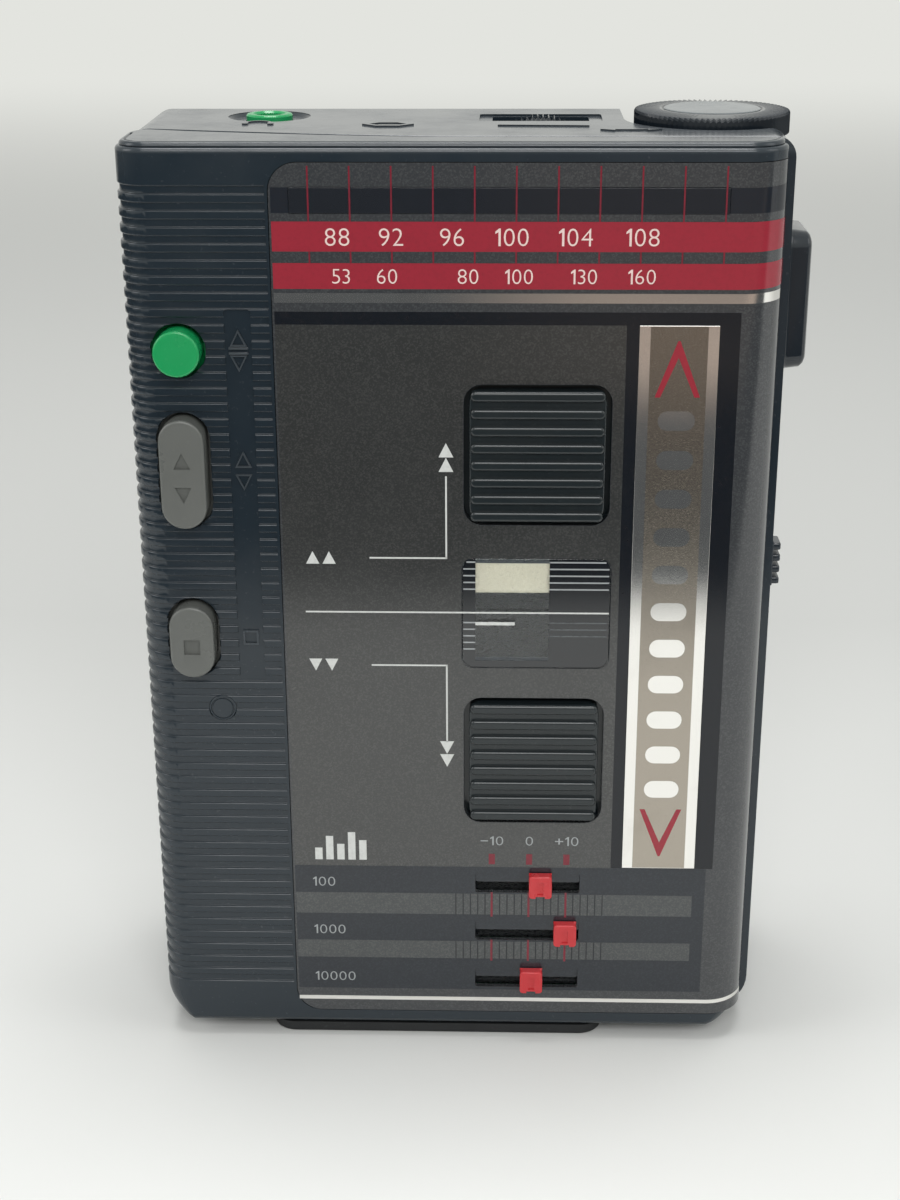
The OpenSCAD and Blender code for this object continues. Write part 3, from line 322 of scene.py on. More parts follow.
def add(tree, kind, inputs=None, **settings):
    """Adds one node with its settings, its fixed inputs and its links."""
    node = tree.nodes.new("ShaderNode" + kind)
    for key, value in settings.items():
        setattr(node, key, value)
    feed(tree, node, inputs or {})
    return node


def per_mm(size):
    """Texture scale at which one feature is size millimetres wide."""
    return 1 / (size * MM)


def start_material(name, inputs):
    mat = bpy.data.materials.new(name)
    mat.use_nodes = True
    tree = mat.node_tree
    shader = tree.nodes["Principled BSDF"]
    feed(tree, shader, inputs)
    return mat, tree, shader, add(tree, "TexCoord").outputs["Object"]


def moulded(name, colour, roughness, dust_and_light_tone="#8d9094", dust_share=0.10, grain=0.35, depth=0.0025, dust_and_painted_top_light=0.0):
    """Injection-moulded plastic: one even colour, a faint tool grain, handling marks, and a lighter film on faces
    that face up, which is settled dust and also painted light for a top that looks pale.

    The grain is drawn coarser than the tool's own, so that it shows."""
    mat, tree, shader, where = start_material(name, {"IOR": 1.53})
    marks = add(tree, "TexNoise", {"Vector": where, "Scale": per_mm(9), "Detail": 5.0, "Roughness": 0.62})
    rough = add(tree, "MapRange", {"Value": marks, "From Min": 0.35, "From Max": 0.7,
                                   "To Min": roughness - 0.05, "To Max": roughness + 0.1})
    specks = add(tree, "TexNoise", {"Vector": where, "Scale": per_mm(0.55), "Detail": 2.0})
    share = add(tree, "MapRange", {"Value": specks, "From Min": 0.66, "From Max": 0.8,
                                   "To Min": 0.0, "To Max": dust_share})
    # Faces that face up turn lighter: settled dust, and also painted light that stands in for the pale look of the
    # case's top
    facing_up = add(tree, "SeparateXYZ", {0: add(tree, "NewGeometry").outputs["Normal"]})
    film = add(tree, "MapRange", {"Value": facing_up.outputs[2], "From Min": 0.9, "To Max": dust_and_painted_top_light})
    veil = add(tree, "Math", {0: share, 1: film}, operation="ADD")
    tint = add(tree, "Mix", {0: veil, 6: colour, 7: dust_and_light_tone}, data_type="RGBA")
    skin = add(tree, "TexNoise", {"Vector": where, "Scale": per_mm(grain), "Detail": 3.0})
    bump = add(tree, "Bump", {"Strength": 1.0, "Distance": depth * MM, "Height": skin})
    feed(tree, shader, {"Base Color": tint, "Roughness": rough, "Normal": bump})
    return mat


def flake_print(name, ground, flake, roughness, share=0.45, size=0.17, gloss=1.0):
    """Clear plastic printed behind with a metallic ink: fine bright flakes under an even gloss.

    The flakes are drawn coarser than the ink's own, so that they show."""
    mat, tree, shader, where = start_material(name, {"IOR": 1.49, "Coat Weight": gloss, "Coat Roughness": 0.12})
    cells = add(tree, "TexVoronoi", {"Vector": where, "Scale": per_mm(size)})
    value = add(tree, "SeparateColor", {0: cells.outputs["Color"]})
    glint = add(tree, "MapRange", {"Value": value, "From Min": share, "From Max": 1.0})
    tint = add(tree, "Mix", {0: glint, 6: ground, 7: flake}, data_type="RGBA")
    wipe = add(tree, "TexNoise", {"Vector": where, "Scale": per_mm(14), "Detail": 6.0, "Roughness": 0.65})
    rough = add(tree, "MapRange", {"Value": wipe, "From Min": 0.3, "From Max": 0.75,
                                   "To Min": roughness * 0.6, "To Max": roughness * 1.7})
    feed(tree, shader, {"Base Color": tint, "Roughness": rough})
    return mat


def ink(name, colour, roughness=0.16, uneven=0.12, gloss=0.0):
    """Screen-printed ink: flat colour whose film varies a little in density, glossy behind clear plastic."""
    mat, tree, shader, where = start_material(name, {"IOR": 1.49, "Roughness": roughness, "Coat Weight": gloss})
    film = add(tree, "TexNoise", {"Vector": where, "Scale": per_mm(0.4), "Detail": 4.0})
    share = add(tree, "MapRange", {"Value": film, "From Min": 0.45, "From Max": 0.8,
                                   "To Min": 0.0, "To Max": uneven * 3})
    tint = add(tree, "Mix", {0: share, 6: colour, 7: "#2a2627"}, data_type="RGBA")
    feed(tree, shader, {"Base Color": tint})
    return mat


def metal(name, colour, roughness, scratch=0.5, worn="#5f5a55"):
    """Metal skin: reflects its surroundings, softened by rubbing marks and a little tarnish."""
    mat, tree, shader, where = start_material(name, {"Metallic": 1.0})
    rub = add(tree, "Mapping", {"Vector": where, "Scale": (1.0, 1.0, 9.0)})
    lines = add(tree, "TexNoise", {"Vector": rub, "Scale": per_mm(scratch), "Detail": 3.0})
    rough = add(tree, "MapRange", {"Value": lines, "From Min": 0.3, "From Max": 0.75,
                                   "To Min": roughness * 0.7, "To Max": roughness * 1.5})
    stain = add(tree, "TexNoise", {"Vector": where, "Scale": per_mm(6), "Detail": 6.0, "Roughness": 0.6})
    share = add(tree, "MapRange", {"Value": stain, "From Min": 0.55, "From Max": 0.85,
                                   "To Min": 0.0, "To Max": 0.4})
    tint = add(tree, "Mix", {0: share, 6: colour, 7: worn}, data_type="RGBA")
    feed(tree, shader, {"Base Color": tint, "Roughness": rough})
    return mat


def clear_plastic(name, colour, roughness, alpha=None):
    """Moulded acrylic: glossy, lightly hazed where it has been wiped; clear, or smoked to an alpha."""
    body = {"Alpha": alpha} if alpha else {"Transmission Weight": 1.0, "Coat Weight": 0.4}
    mat, tree, shader, where = start_material(name, {"IOR": 1.49, "Base Color": colour, **body})
    haze = add(tree, "TexNoise", {"Vector": where, "Scale": per_mm(5), "Detail": 5.0})
    rough = add(tree, "MapRange", {"Value": haze, "From Min": 0.35, "From Max": 0.7,
                                   "To Min": roughness * 0.6, "To Max": roughness * 1.6})
    feed(tree, shader, {"Roughness": rough})
    return mat


def pressed_felt(name, colour):
    """Pressed wool felt: matt, with a soft nap, pale fibres and a few darker strands.

    Fibres and strands are drawn coarser than wool's own, so that they show."""
    mat, tree, shader, where = start_material(name, {"Roughness": 0.95, "Sheen Weight": 0.4, "IOR": 1.45})
    fibre = add(tree, "TexNoise", {"Vector": where, "Scale": per_mm(0.3), "Detail": 6.0, "Distortion": 2.0})
    tint = add(tree, "Mix", {0: fibre, 6: "#cdc2a4", 7: colour}, data_type="RGBA")
    strands = add(tree, "TexNoise", {"Vector": where, "Scale": per_mm(0.5), "Detail": 3.0, "Distortion": 3.0})
    stray = add(tree, "MapRange", {"Value": strands, "From Min": 0.62, "From Max": 0.72, "To Max": 0.5})
    mixed = add(tree, "Mix", {0: stray, 6: tint, 7: "#6e6654"}, data_type="RGBA")
    bump = add(tree, "Bump", {"Strength": 1.0, "Distance": 0.12 * MM, "Height": fibre})
    feed(tree, shader, {"Base Color": mixed, "Normal": bump})
    return mat


# Plastics and rubber: the dark case is glossy, its level faces lightened by dust and by painted light; small parts
# are cleaner
BLACK_ABS = moulded("black ABS", "#202a32", 0.16, dust_and_painted_top_light=0.25)
# Inside parts: a matt, darker copy of the case's black ABS; the darker colour is painted shade for the dark inside of
# the case
SHADED_INSIDE_ABS = moulded("black ABS inside", "#101214", 0.7, dust_share=0.02)
PAD_ABS = moulded("polished black ABS", "#1f2629", 0.14, dust_share=0.06)
KNOB_ABS = moulded("bluish black ABS", "#1d242b", 0.14, dust_share=0.06, dust_and_painted_top_light=0.2)
# Lighter black ABS for the raised legend signs: wear, and a painted highlight for the light their raised lines catch
SIGN_ABS = moulded("worn black ABS", "#3a4147", 0.3)
GREY_ABS = moulded("grey ABS", "#636562", 0.3, dust_and_light_tone="#8a8c88", depth=0.003)
# Darker grey for the floors of the keys' sunk signs: painted shade in the recesses
SIGN_FLOOR_PAINTED_SHADE = moulded("grey ABS, rough floor", "#565855", 0.5, dust_and_light_tone="#6e706c", depth=0.004)
GREEN_ABS = moulded("green ABS", "#189a58", 0.2, dust_and_light_tone="#6fc79a")
RED_ABS = moulded("red ABS", "#c62f35", 0.24, dust_and_light_tone="#e07a78")
ACETAL = moulded("natural acetal", "#d8d4c8", 0.42, dust_and_light_tone="#b5b0a2")
PALE_DISC = moulded("satin ABS disc", "#6d7376", 0.2)
RUBBER = moulded("black rubber", "#17191b", 0.7, grain=0.25, depth=0.01)
COMPONENT = moulded("epoxy moulding", "#1d1f21", 0.5, grain=0.15, depth=0.008)
BOARD = moulded("solder resist", "#245338", 0.32, dust_and_light_tone="#8fae94", dust_share=0.2)
FERRITE = moulded("sintered ferrite", "#312e2c", 0.6, grain=0.2, depth=0.01)
# Metals: plated and turned inside, near-mirror foil on the front
STEEL = metal("zinc-plated steel", "#b4b7b9", 0.28)
BRASS = metal("turned brass", "#b58f4c", 0.24, worn="#6d5430")
MIRROR = metal("metallised trim", "#f8f6f2", 0.09, scratch=0.3, worn="#cbc7c0")
TAUPE = metal("tinted metallised trim", "#b0a89d", 0.2, scratch=0.3, worn="#827a70")
# Felt behind the window, and the clear parts over it and over the dial
FELT = pressed_felt("pressed felt", "#fff5df")
CLEAR = clear_plastic("clear acrylic", "#e9eef0", 0.05)
SMOKED = clear_plastic("smoked acrylic", "#23262c", 0.05, 0.94)
# Prints of the face plate: sparkling grounds, and plain inks for lines, bars and numerals
PLATE_GREY = flake_print("grey flake print", "#37393c", "#46484a", 0.14, gloss=0.5)
FIELD = flake_print("charcoal flake print", "#303131", "#404140", 0.17)
EQ_GROUND = flake_print("blue-grey print", "#20252c", "#292e35", 0.12, gloss=0.3)
EQ_BAR = flake_print("light flake print", "#424546", "#515353", 0.12, gloss=0.4)
BLACK_INK = ink("black ink", "#161a20", 0.1)
PANE_INK = ink("black ink behind acrylic", "#14181d", 0.07, gloss=1.0)
BAND_INK = ink("smoky ink behind acrylic", "#22262d", 0.06)
RED_INK = ink("red ink", "#9a2c3a", 0.12, 0.05)
DEEP_RED_INK = ink("deep red ink", "#7d2634", 0.14)
PINK_INK = ink("pale pink ink", "#ecd2cd", 0.2, 0.03)
WHITE_INK = ink("white ink", "#d4d6d4", 0.2, 0.05)
GREY_INK = ink("pale grey ink", "#9fa3a5", 0.2, 0.05)
DARK_INK = ink("dark grey ink", "#24282c", 0.14)
FAINT_INK = ink("worn grey ink", "#5f6365", 0.2, 0.2)

# The hinged front: a ribbed strip, the rims and the seat of the printed plate


def rim(height, r):
    """How far a rounded edge has drawn in at a height above its end."""
    return 0.0 if height >= r else r - math.sqrt(r * r - (r - height) ** 2)


def facing(points, cx, cy):
    """Plan points on an arc with their outward directions."""
    return [(x, y, (x - cx) / math.hypot(x - cx, y - cy), (y - cy) / math.hypot(x - cx, y - cy)) for x, y in points]


def lid_plan():
    edge = SEAM_GAP / 2
    lean = SEAM_BREAK / (2 * BEAD_R)
    rear = [(LID_RIGHT, seam(0) - edge, 1, lean)]
    rear += [(x, seam(x) - edge, 0, lean) for x in (20, 0, *(HINGE_X * i / 8 for i in range(1, 8)))]
    barrel = [(x, y, nx, 0) for x, y, nx, ny in facing(arc(HINGE_X, HINGE_Y, BARREL_R, 90, 180), HINGE_X, HINGE_Y)]
    corner = LEFT + STRIP_TURN, FRONT + STRIP_TURN
    turn = TURN_X, FRONT + LID_TURN
    return (rear + barrel + facing(arc(*corner, STRIP_TURN, 180, 270, STRIP_STEPS), *corner)
            + facing(arc(*turn, LID_TURN, 270, LID_TURN_END, 12), *turn))


def cabinet_plan():
    edge = SEAM_GAP / 2
    lean = -SEAM_BREAK / REAR_ROUND
    front = [(LEFT, seam(HINGE_X) + edge, -1, lean)]
    front += [(x, seam(x) + edge, 0, lean) for x in (*(HINGE_X * (1 - i / 8) for i in range(8)), 0, 20)]
    front += [(RIGHT, seam(0) + edge, 1, lean)]
    r = REAR_ROUND
    return (front + facing(arc(RIGHT - r, BACK - r, r, 0, 90), RIGHT - r, BACK - r)
            + facing(arc(LEFT + r, BACK - r, r, 90, 180), LEFT + r, BACK - r))


def end_rows(r_side, r_front, steps=10):
    """Rows of a rounded end: (height from the end, inset at the sides, inset at front and rear)."""
    heights = [r_side * (1 - math.cos(math.radians(90 * i / steps))) for i in range(steps + 1)]
    return [(h, rim(h, r_side), rim(h, r_front)) for h in heights]


def beaded_rows():
    """Rows of the lid's top end, whose edge is a double bead."""
    r = BEAD_R
    turns = [math.radians(a) for a in (90, 72, 54, 36, 18, 0)]
    rows = [(r * (1 - math.sin(t)), r * (2 - math.cos(t))) for t in turns]
    rows += [(r + BEAD_NOTCH / 2, r + BEAD_NOTCH)]
    rows += [(r + BEAD_NOTCH + r * (1 - math.sin(t)), r * (1 - math.cos(t))) for t in turns]
    rows += [(h, 0.0) for h in (1.3, 1.6, 2.0, TOP_ROUND)]
    return [(h, inset, inset) for h, inset in rows]


def case_skin(plan, low, high, inset=0.0):
    """The closed outside of a case half: its plan drawn up from base to top, drawn in by the rows of both ends."""
    levels = [(BASE + inset + h, dx + inset, dy + inset) for h, dx, dy in low]
    levels += [(TOP - inset - h, dx + inset, dy + inset) for h, dx, dy in reversed(high)]
    left, right = (f(point[0] for point in plan) for f in (min, max))
    rings = []
    for z, dx, dy in levels:
        rings.append([(min(max(x - nx * dx, left + dx), right - dx), y - ny * dy, z) for x, y, nx, ny in plan])
    bm = loft(rings)
    bmesh.ops.remove_doubles(bm, verts=bm.verts, dist=0.004)
    bmesh.ops.recalc_face_normals(bm, faces=bm.faces)
    return bm


def lid_skin():
    return case_skin(lid_plan(), end_rows(BOTTOM_ROUND, RIM_R), beaded_rows())


def cabinet_skin(inset=0.0):
    return case_skin(cabinet_plan(), end_rows(BOTTOM_ROUND, REAR_ROUND), end_rows(TOP_ROUND, REAR_ROUND, 8), inset)


def plate_block(grow, thick, proud):
    """The printed plate's space: a sheet that follows the front and its right-hand turn."""
    def bend(r):
        return arc(TURN_X, FRONT + LID_TURN, r, 270, 360, 14)
    end = seam(0) - SEAM_GAP / 2
    x0 = plate.x0 - grow
    outer = [(x0, FRONT - proud)] + bend(LID_TURN + proud) + [(LID_RIGHT + proud, end)]
    inner = [(LID_RIGHT - thick, end)] + bend(LID_TURN - thick)[::-1] + [(x0, FRONT + thick)]
    form = solid(prism(outer + inner, "z", plate.z0 - grow, plate.z1 + grow))
    r = PLATE_ROUND + grow
    x1 = RIGHT + 5
    z0, z1 = plate.z0 - grow, plate.z1 + grow
    ends = [(x1, z1 + 1), (x0 + r, z1 + 1)] + [(x0 + r, z1)] + arc(x0 + r, z1 - r, r, 90, 180)
    ends += arc(x0 + r, z0 + r, r, 180, 270) + [(x0 + r, z0 - 1), (x1, z0 - 1)]
    return carve(form, prism(ends, "y", FRONT - 5, 0), operation="INTERSECT")


def to_bmesh(form):
    bm = bmesh.new()
    bm.from_mesh(form.data)
    bpy.data.objects.remove(form)
    return bm


RIB_PITCH, RIB_TOP, RIB_COUNT, RIB_END = 1.985, 118.0, 56, 0.45
GROOVE_W, GROOVE_DEPTH, RIB_EDGE, GROOVE_FILLET = 0.92, 0.26, 0.17, 0.08


def groove_profile():
    """One groove of the ribbed strip from its lower to its upper edge: (height, depth) points."""
    turns = [math.radians(a) for a in (18, 42, 66, 90)]
    lower = [(-RIB_EDGE - 0.06, -0.03)]
    lower += [(RIB_EDGE * (math.sin(t) - 1), RIB_EDGE * (1 - math.cos(t))) for t in turns]
    r = GROOVE_FILLET
    lower += [(r * (1 - math.cos(t)), GROOVE_DEPTH - r * (1 - math.sin(t))) for t in [0] + turns]
    return lower + [(GROOVE_W - z, depth) for z, depth in reversed(lower)]


def swept(path, section):
    """A tool whose section of (outward, height) points runs along plan points with outward directions."""
    return loft([[(x + nx * out, y + ny * out, z) for out, z in section] for x, y, nx, ny in path])


def rib_grooves():
    """One tool for all grooves of the ribbed strip, swept from the plate's edge round the left corner."""
    corner = LEFT + STRIP_TURN, FRONT + STRIP_TURN
    path = [(plate.x0 - RIB_END, FRONT, 0, -1), (corner[0] + 6, FRONT, 0, -1)]
    path += facing(arc(*corner, STRIP_TURN, 270, 180, STRIP_STEPS), *corner) + [(LEFT, HINGE_Y + 1, -1, 0)]
    levels = [RIB_TOP - RIB_PITCH * k for k in reversed(range(RIB_COUNT))]
    section = [(-depth, level + z) for level in levels for z, depth in groove_profile()]
    section += [(1, section[-1][1]), (1, section[0][1])]
    return swept(path, section)


BEAD, BEAD_LINE = 2 * BEAD_R + 0.22, 0.24


def bead_line():
    """Tool for the fine line behind the rounded rim of the lid's top."""
    left, right = (LEFT + STRIP_TURN, FRONT + STRIP_TURN), (TURN_X, FRONT + LID_TURN)
    path = [(LEFT + BEAD, HINGE_Y, -1, 0)] + facing(arc(*left, STRIP_TURN - BEAD, 180, 270), *left)
    path += facing(arc(*right, LID_TURN - BEAD, 270, 360), *right) + [(LID_RIGHT - BEAD, 0, 1, 0)]
    return swept(path, [(-BEAD_LINE, TOP + 0.1), (0, TOP - BEAD_LINE), (BEAD_LINE, TOP + 0.1)])


def front_boxes(*names):
    """Boxes of what CAD nodes show in front of the lid."""
    return {name: part_box(name, lambda x, y, z: y < FRONT - 0.3) for name in names}


window = box_of("cassette_window")
dial = box_of("dial_lens")
trim = box_of("trim_strip")
plug = box_of("indicator_lens")
pads = front_boxes("upper_pad", "lower_pad")
sliders = front_boxes("eq_slider_low", "eq_slider_mid", "eq_slider_high")
buttons = front_boxes("play_button", "stop_button", "direction_button")
PAD_GAP, PAD_CORNER = 0.7, 1.6
KEY_GAP, KEY_BREAK = 0.5, 0.2
VIEW_SEAT, VIEW_CORNER = 0.8, 0.6
SLOT_X, SLOT_LEN, SLOT_H, SLOT_CORNER = 9.666, 14.2, 3.0, 0.3
LEDGE_LOW, LEDGE_DEPTH = 0.1, 0.14
BAND_X0, BAND_X1, BAND_DEPTH = -28.3, -25.0, GROOVE_DEPTH + 0.02
BAND_Z0, BAND_Z1 = 54.7, 104.0
EAR_CLEAR_R, EAR_CLEAR_Z = 1.0, 0.4
BARREL_CLEAR_X, BARREL_CLEAR_Y = 0.4, 0.3


def pad_opening(pad, grow):
    return framed(pad, "xz", grow, PAD_CORNER + grow)


def slot_opening(slider, low=SLOT_H / 2, high=SLOT_H / 2, short=0.0):
    """A slider slot from low under to high over its middle, shorter by short at each end."""
    half = SLOT_LEN / 2 - short
    return rounded(SLOT_X - half, slider.z - low, SLOT_X + half, slider.z + high, SLOT_CORNER)


def key_opening(key, grow):
    return capsule(key.x, key.z, key.x1 - key.x0 + 2 * grow, key.z1 - key.z0 + 2 * grow)


def flared(outline, floor, edge):
    """A tool that cuts outline(grow) down to a floor and breaks the edge of the front face."""
    return loft([placed(outline(grow), "y", level) for grow, level in (
        (0, floor), (0, FRONT + edge), (edge * 0.3, FRONT + edge * 0.3), (edge, FRONT - 0.02), (edge, FRONT - 2))])


def make_lid():
    form = solid(lid_skin())
    wall = LID_WALL
    keep_x = HINGE_X + BARREL_R + BARREL_CLEAR_X
    keep_y = HINGE_Y - BARREL_R - BARREL_CLEAR_Y
    hollow = arc(LEFT + STRIP_TURN, FRONT + STRIP_TURN, STRIP_TURN - wall, 180, 270)
    hollow += arc(TURN_X, FRONT + LID_TURN, LID_TURN - wall, 270, 360)
    hollow += [(LID_RIGHT - wall, 0), (keep_x, 0), (keep_x, keep_y), (LEFT + wall, keep_y)]
    carve(form, prism(hollow, "z", BASE + wall, TOP - wall), rib_grooves())
    carve(form, bead_line())
    carve(form, flared(lambda grow: rounded(BAND_X0 - grow, BAND_Z0 - grow, BAND_X1 + grow, BAND_Z1 + grow, 0.4),
                       FRONT + BAND_DEPTH, 0.05))
    carve(form, to_bmesh(plate_block(PLATE_GAP, PLATE_T + 0.03, 1.0)))
    through = (FRONT - 2, FRONT + 4)
    for key in buttons.values():
        carve(form, flared(lambda grow: key_opening(key, KEY_GAP + grow), through[1], KEY_BREAK))
    carve(form, turned([(plug.x1 / 2 - plug.x0 / 2, level, 0) for level in through], (plug.x, plug.z), "y", 40))
    for pad in pads.values():
        carve(form, prism(pad_opening(pad, PAD_GAP), "y", *through))
    for slider in sliders.values():
        carve(form, prism(slot_opening(slider, SLOT_H / 2 + 1.0, LEDGE_LOW), "y", *through))
    for view in (window, dial):
        carve(form, prism(framed(view, "xz", -VIEW_SEAT, VIEW_CORNER), "y", *through))
    for z in EAR_Z:
        levels = z - EAR_H / 2 - EAR_CLEAR_Z, z + EAR_H / 2 + EAR_CLEAR_Z
        carve(form, turned([(EAR_R + EAR_CLEAR_R, level, 0) for level in levels], (HINGE_X, HINGE_Y), "z", 40))
    return form


piece("front_lid", make_lid(), "lid", BLACK_ABS, ["lid_shell"], smooth=28)

# The rear half of the case

tune = [v / MM for v in JOINTS["tuning_turn"]["pos_m"]]
volume = [v / MM for v in JOINTS["volume_turn"]["pos_m"]]
jack = box_of("phone_jack")
PHONES = jack.x, jack.y
wheel = box_of("volume_wheel")
COVER_HINGE = box_of("battery_cover").x0
cover = part_box("battery_cover", lambda x, y, z: x > LEFT + 5)  # without its hinge pin
board = box_of("main_board")
release = part_box("lid_release", lambda x, y, z: x > RIGHT + 0.1)
selector = part_box("selector_knob", lambda x, y, z: x > RIGHT + 0.1)
KNOB_R = 9.9
SHELF_R, SHELF_Z, SHELF_T, SHELF_SLOPE, SHELF_INSET = KNOB_R + 0.3, TOP - 3.0, 1.3, 1.0, 0.4
PHONES_RING_R, PHONES_DISH_R, DISH_DEPTH = 3.0, 5.3, 0.5
SCREWS = ((-20.5, BASE + 8), (36.0, BASE + 8), (-20.5, TOP - 20), (22.2, TOP - 18))
POSTS = ((-0.1, 52.0), (29.9, 52.0), (-6.1, 100.0))
BOSS_R, POST_R, SCREW_R, SCREW_HEAD_R = 2.4, 2.2, 1.2, 2.35
DECK_REAR = 2.2
RECESS_HALF, RECESS_Y, RECESS_DEPTH = 7.85, (2.4, 9.1), 0.3
WHEEL_SLOT_HALF, WHEEL_SLOT_SIDE, WHEEL_SLOT_DEPTH = 6.2, 0.35, 3
COVER_PIN_R, COVER_CLEAR = 0.35, 0.25
EAR_ARM, EAR_SIDE, OVERLAP = 1.2, 0.4, 0.2
SHAFT_HOLE_R, RING_CLEAR = 2.9, 0.06
RELEASE_SLOT_Y, RELEASE_DOWN, RELEASE_UP = (3.0, 6.0), 5, 2.5
SELECTOR_SLOT_Y, SELECTOR_SLOT_Z = 1.1, 5


def rod(axis, centre, r, start, end, steps=40):
    return turned([(r, start, 0), (r, end, 0)], centre, axis, steps)


def shelf_outline(r):
    """Plan of the tuning knob's lowered shelf: round in front, open at the rear edge."""
    x, y = tune[:2]
    return arc(x, y, r, 180, 360, 48) + [(x + r, BACK + 2), (x - r, BACK + 2)]


def make_cabinet():
    form = solid(cabinet_skin())
    w = WALL
    hollow = (arc(RIGHT - TOP_ROUND, TOP - TOP_ROUND, TOP_ROUND - w, 0, 90)
              + arc(LEFT + TOP_ROUND, TOP - TOP_ROUND, TOP_ROUND - w, 90, 180)
              + arc(LEFT + BOTTOM_ROUND, BASE + BOTTOM_ROUND, BOTTOM_ROUND - w, 180, 270)
              + arc(RIGHT - BOTTOM_ROUND, BASE + BOTTOM_ROUND, BOTTOM_ROUND - w, 270, 360))
    carve(form, prism(hollow, "y", FRONT, BACK - w))
    tower = solid(prism(shelf_outline(SHELF_R + SHELF_SLOPE + SHELF_T), "z", SHELF_Z - SHELF_T, TOP + 1))
    carve(tower, cabinet_skin(SHELF_INSET), operation="INTERSECT")
    fuse(form, to_bmesh(tower))
    edge = seam(HINGE_X) + SEAM_GAP / 2
    for z in EAR_Z:
        low, high = z - EAR_H / 2, z + EAR_H / 2
        fuse(form, rod("z", (HINGE_X, HINGE_Y), EAR_R, low, high),
             block(HINGE_X - EAR_ARM, HINGE_X + EAR_ARM, HINGE_Y, edge + 2, low, high),
             block(LEFT + EAR_SIDE, HINGE_X + EAR_ARM, edge + 0.01, edge + 3, low, high))
    for spots, r, start in ((SCREWS, BOSS_R, DECK_REAR), (POSTS, POST_R, board.y1)):
        fuse(form, *(rod("y", spot, r, start, BACK - w + OVERLAP) for spot in spots))
    over = 1.0  # how far tools run out past a face
    rise = SHELF_SLOPE * (TOP + over - SHELF_Z) / (TOP - SHELF_Z)
    carve(form, loft([placed(shelf_outline(SHELF_R), "z", SHELF_Z),
                      placed(shelf_outline(SHELF_R + rise), "z", TOP + over)]))
    carve(form, rod("z", tune[:2], SHAFT_HOLE_R, SHELF_Z - 3, SHELF_Z + over))
    for spot in SCREWS:
        carve(form, rod("y", spot, SCREW_R, DECK_REAR - over, BACK + over),
              rod("y", spot, SCREW_HEAD_R, BACK - 1.1, BACK + over))
    carve(form, rod("z", PHONES, PHONES_RING_R + RING_CLEAR, TOP - 2, TOP + over, 60))
    dish = [(PHONES_DISH_R - 0.5, TOP - DISH_DEPTH, 0), (PHONES_DISH_R, TOP - 0.12, 0),
            (PHONES_DISH_R + 0.2, TOP + over, 0)]
    carve(form, turned(dish, PHONES, "z", 72))
    x = volume[0]
    slot_y = wheel.y0 - WHEEL_SLOT_SIDE, wheel.y1 + WHEEL_SLOT_SIDE
    for dx, (y0, y1), low, r in ((RECESS_HALF, RECESS_Y, TOP - RECESS_DEPTH, 0.5),
                                 (WHEEL_SLOT_HALF, slot_y, TOP - WHEEL_SLOT_DEPTH, 0.4)):
        carve(form, prism(rounded(x - dx, y0, x + dx, y1, r), "z", low, TOP + over))
    side = RIGHT - 2, RIGHT + over
    carve(form, block(*side, *RELEASE_SLOT_Y, release.z - RELEASE_DOWN, release.z + RELEASE_UP),
          block(*side, selector.y - SELECTOR_SLOT_Y, selector.y + SELECTOR_SLOT_Y,
                selector.z - SELECTOR_SLOT_Z, selector.z + SELECTOR_SLOT_Z))
    clear = COVER_CLEAR
    carve(form, block(COVER_HINGE - clear, cover.x1 + clear, BACK - 2, BACK + over,
                      cover.z0 - clear, cover.z1 + clear))
    pin_at = COVER_HINGE + w / 2, BACK - w / 2
    carve(form, rod("z", pin_at, COVER_PIN_R + RING_CLEAR, cover.z0 - w, cover.z1 + w, 24))
    return form


piece("rear_case", make_cabinet(), "cabinet", BLACK_ABS, ["rear_cabinet"], smooth=28)

# The printed plate

WINDOW_CORNER, DIAL_CORNER = 1.5, 0.2
VIEW_GAP, TRIM_GAP, PLATE_EDGE = 0.06, 0.03, 0.2


def make_plate():
    form = plate_block(0, PLATE_T, 0)
    through = (FRONT - 2, FRONT + 2)
    for pad in pads.values():
        carve(form, prism(pad_opening(pad, PAD_GAP), "y", *through))
    for slider in sliders.values():
        carve(form, prism(slot_opening(slider), "y", *through))
    for view, r in ((window, WINDOW_CORNER), (dial, DIAL_CORNER)):
        carve(form, prism(framed(view, "xz", VIEW_GAP, r), "y", *through))
    carve(form, block(trim.x0 - TRIM_GAP, trim.x1 + TRIM_GAP, FRONT - 1, trim.y1,
                      trim.z0 - TRIM_GAP, trim.z1 + TRIM_GAP))
    return soften(form, PLATE_EDGE, 3)


piece("face_print_plate", make_plate(), "lid", PLATE_GREY, ["face_plate"], smooth=28)

LIFT = 0.015  # each layer of print lies this far over the one below
PRINT_EDGE = 0.26
PRINT_LEFT = plate.x0 + PRINT_EDGE
PRINT_GAP, WRAP_END = 0.1, 352


def drawn(outline, layer=2, holes=()):
    return sheet(outline, FRONT - layer * LIFT, holes)


def bar(x0, x1, z0, z1, layer=1, holes=()):
    return drawn([(x0, z0), (x1, z0), (x1, z1), (x0, z1)], layer, holes)


def wrapped(z0, z1, x0=PRINT_LEFT):
    """A printed band that runs along the front and round the plate's right-hand turn."""
    path = [(x0, FRONT - LIFT)] + arc(TURN_X, FRONT + LID_TURN, LID_TURN + LIFT, 270, WRAP_END, 16)
    bm = bmesh.new()
    rows = [[bm.verts.new((x, y, z)) for z in (z0, z1)] for x, y in path]
    for a, b in zip(rows, rows[1:]):
        bm.faces.new((a[0], b[0], b[1], a[1]))
    return bm


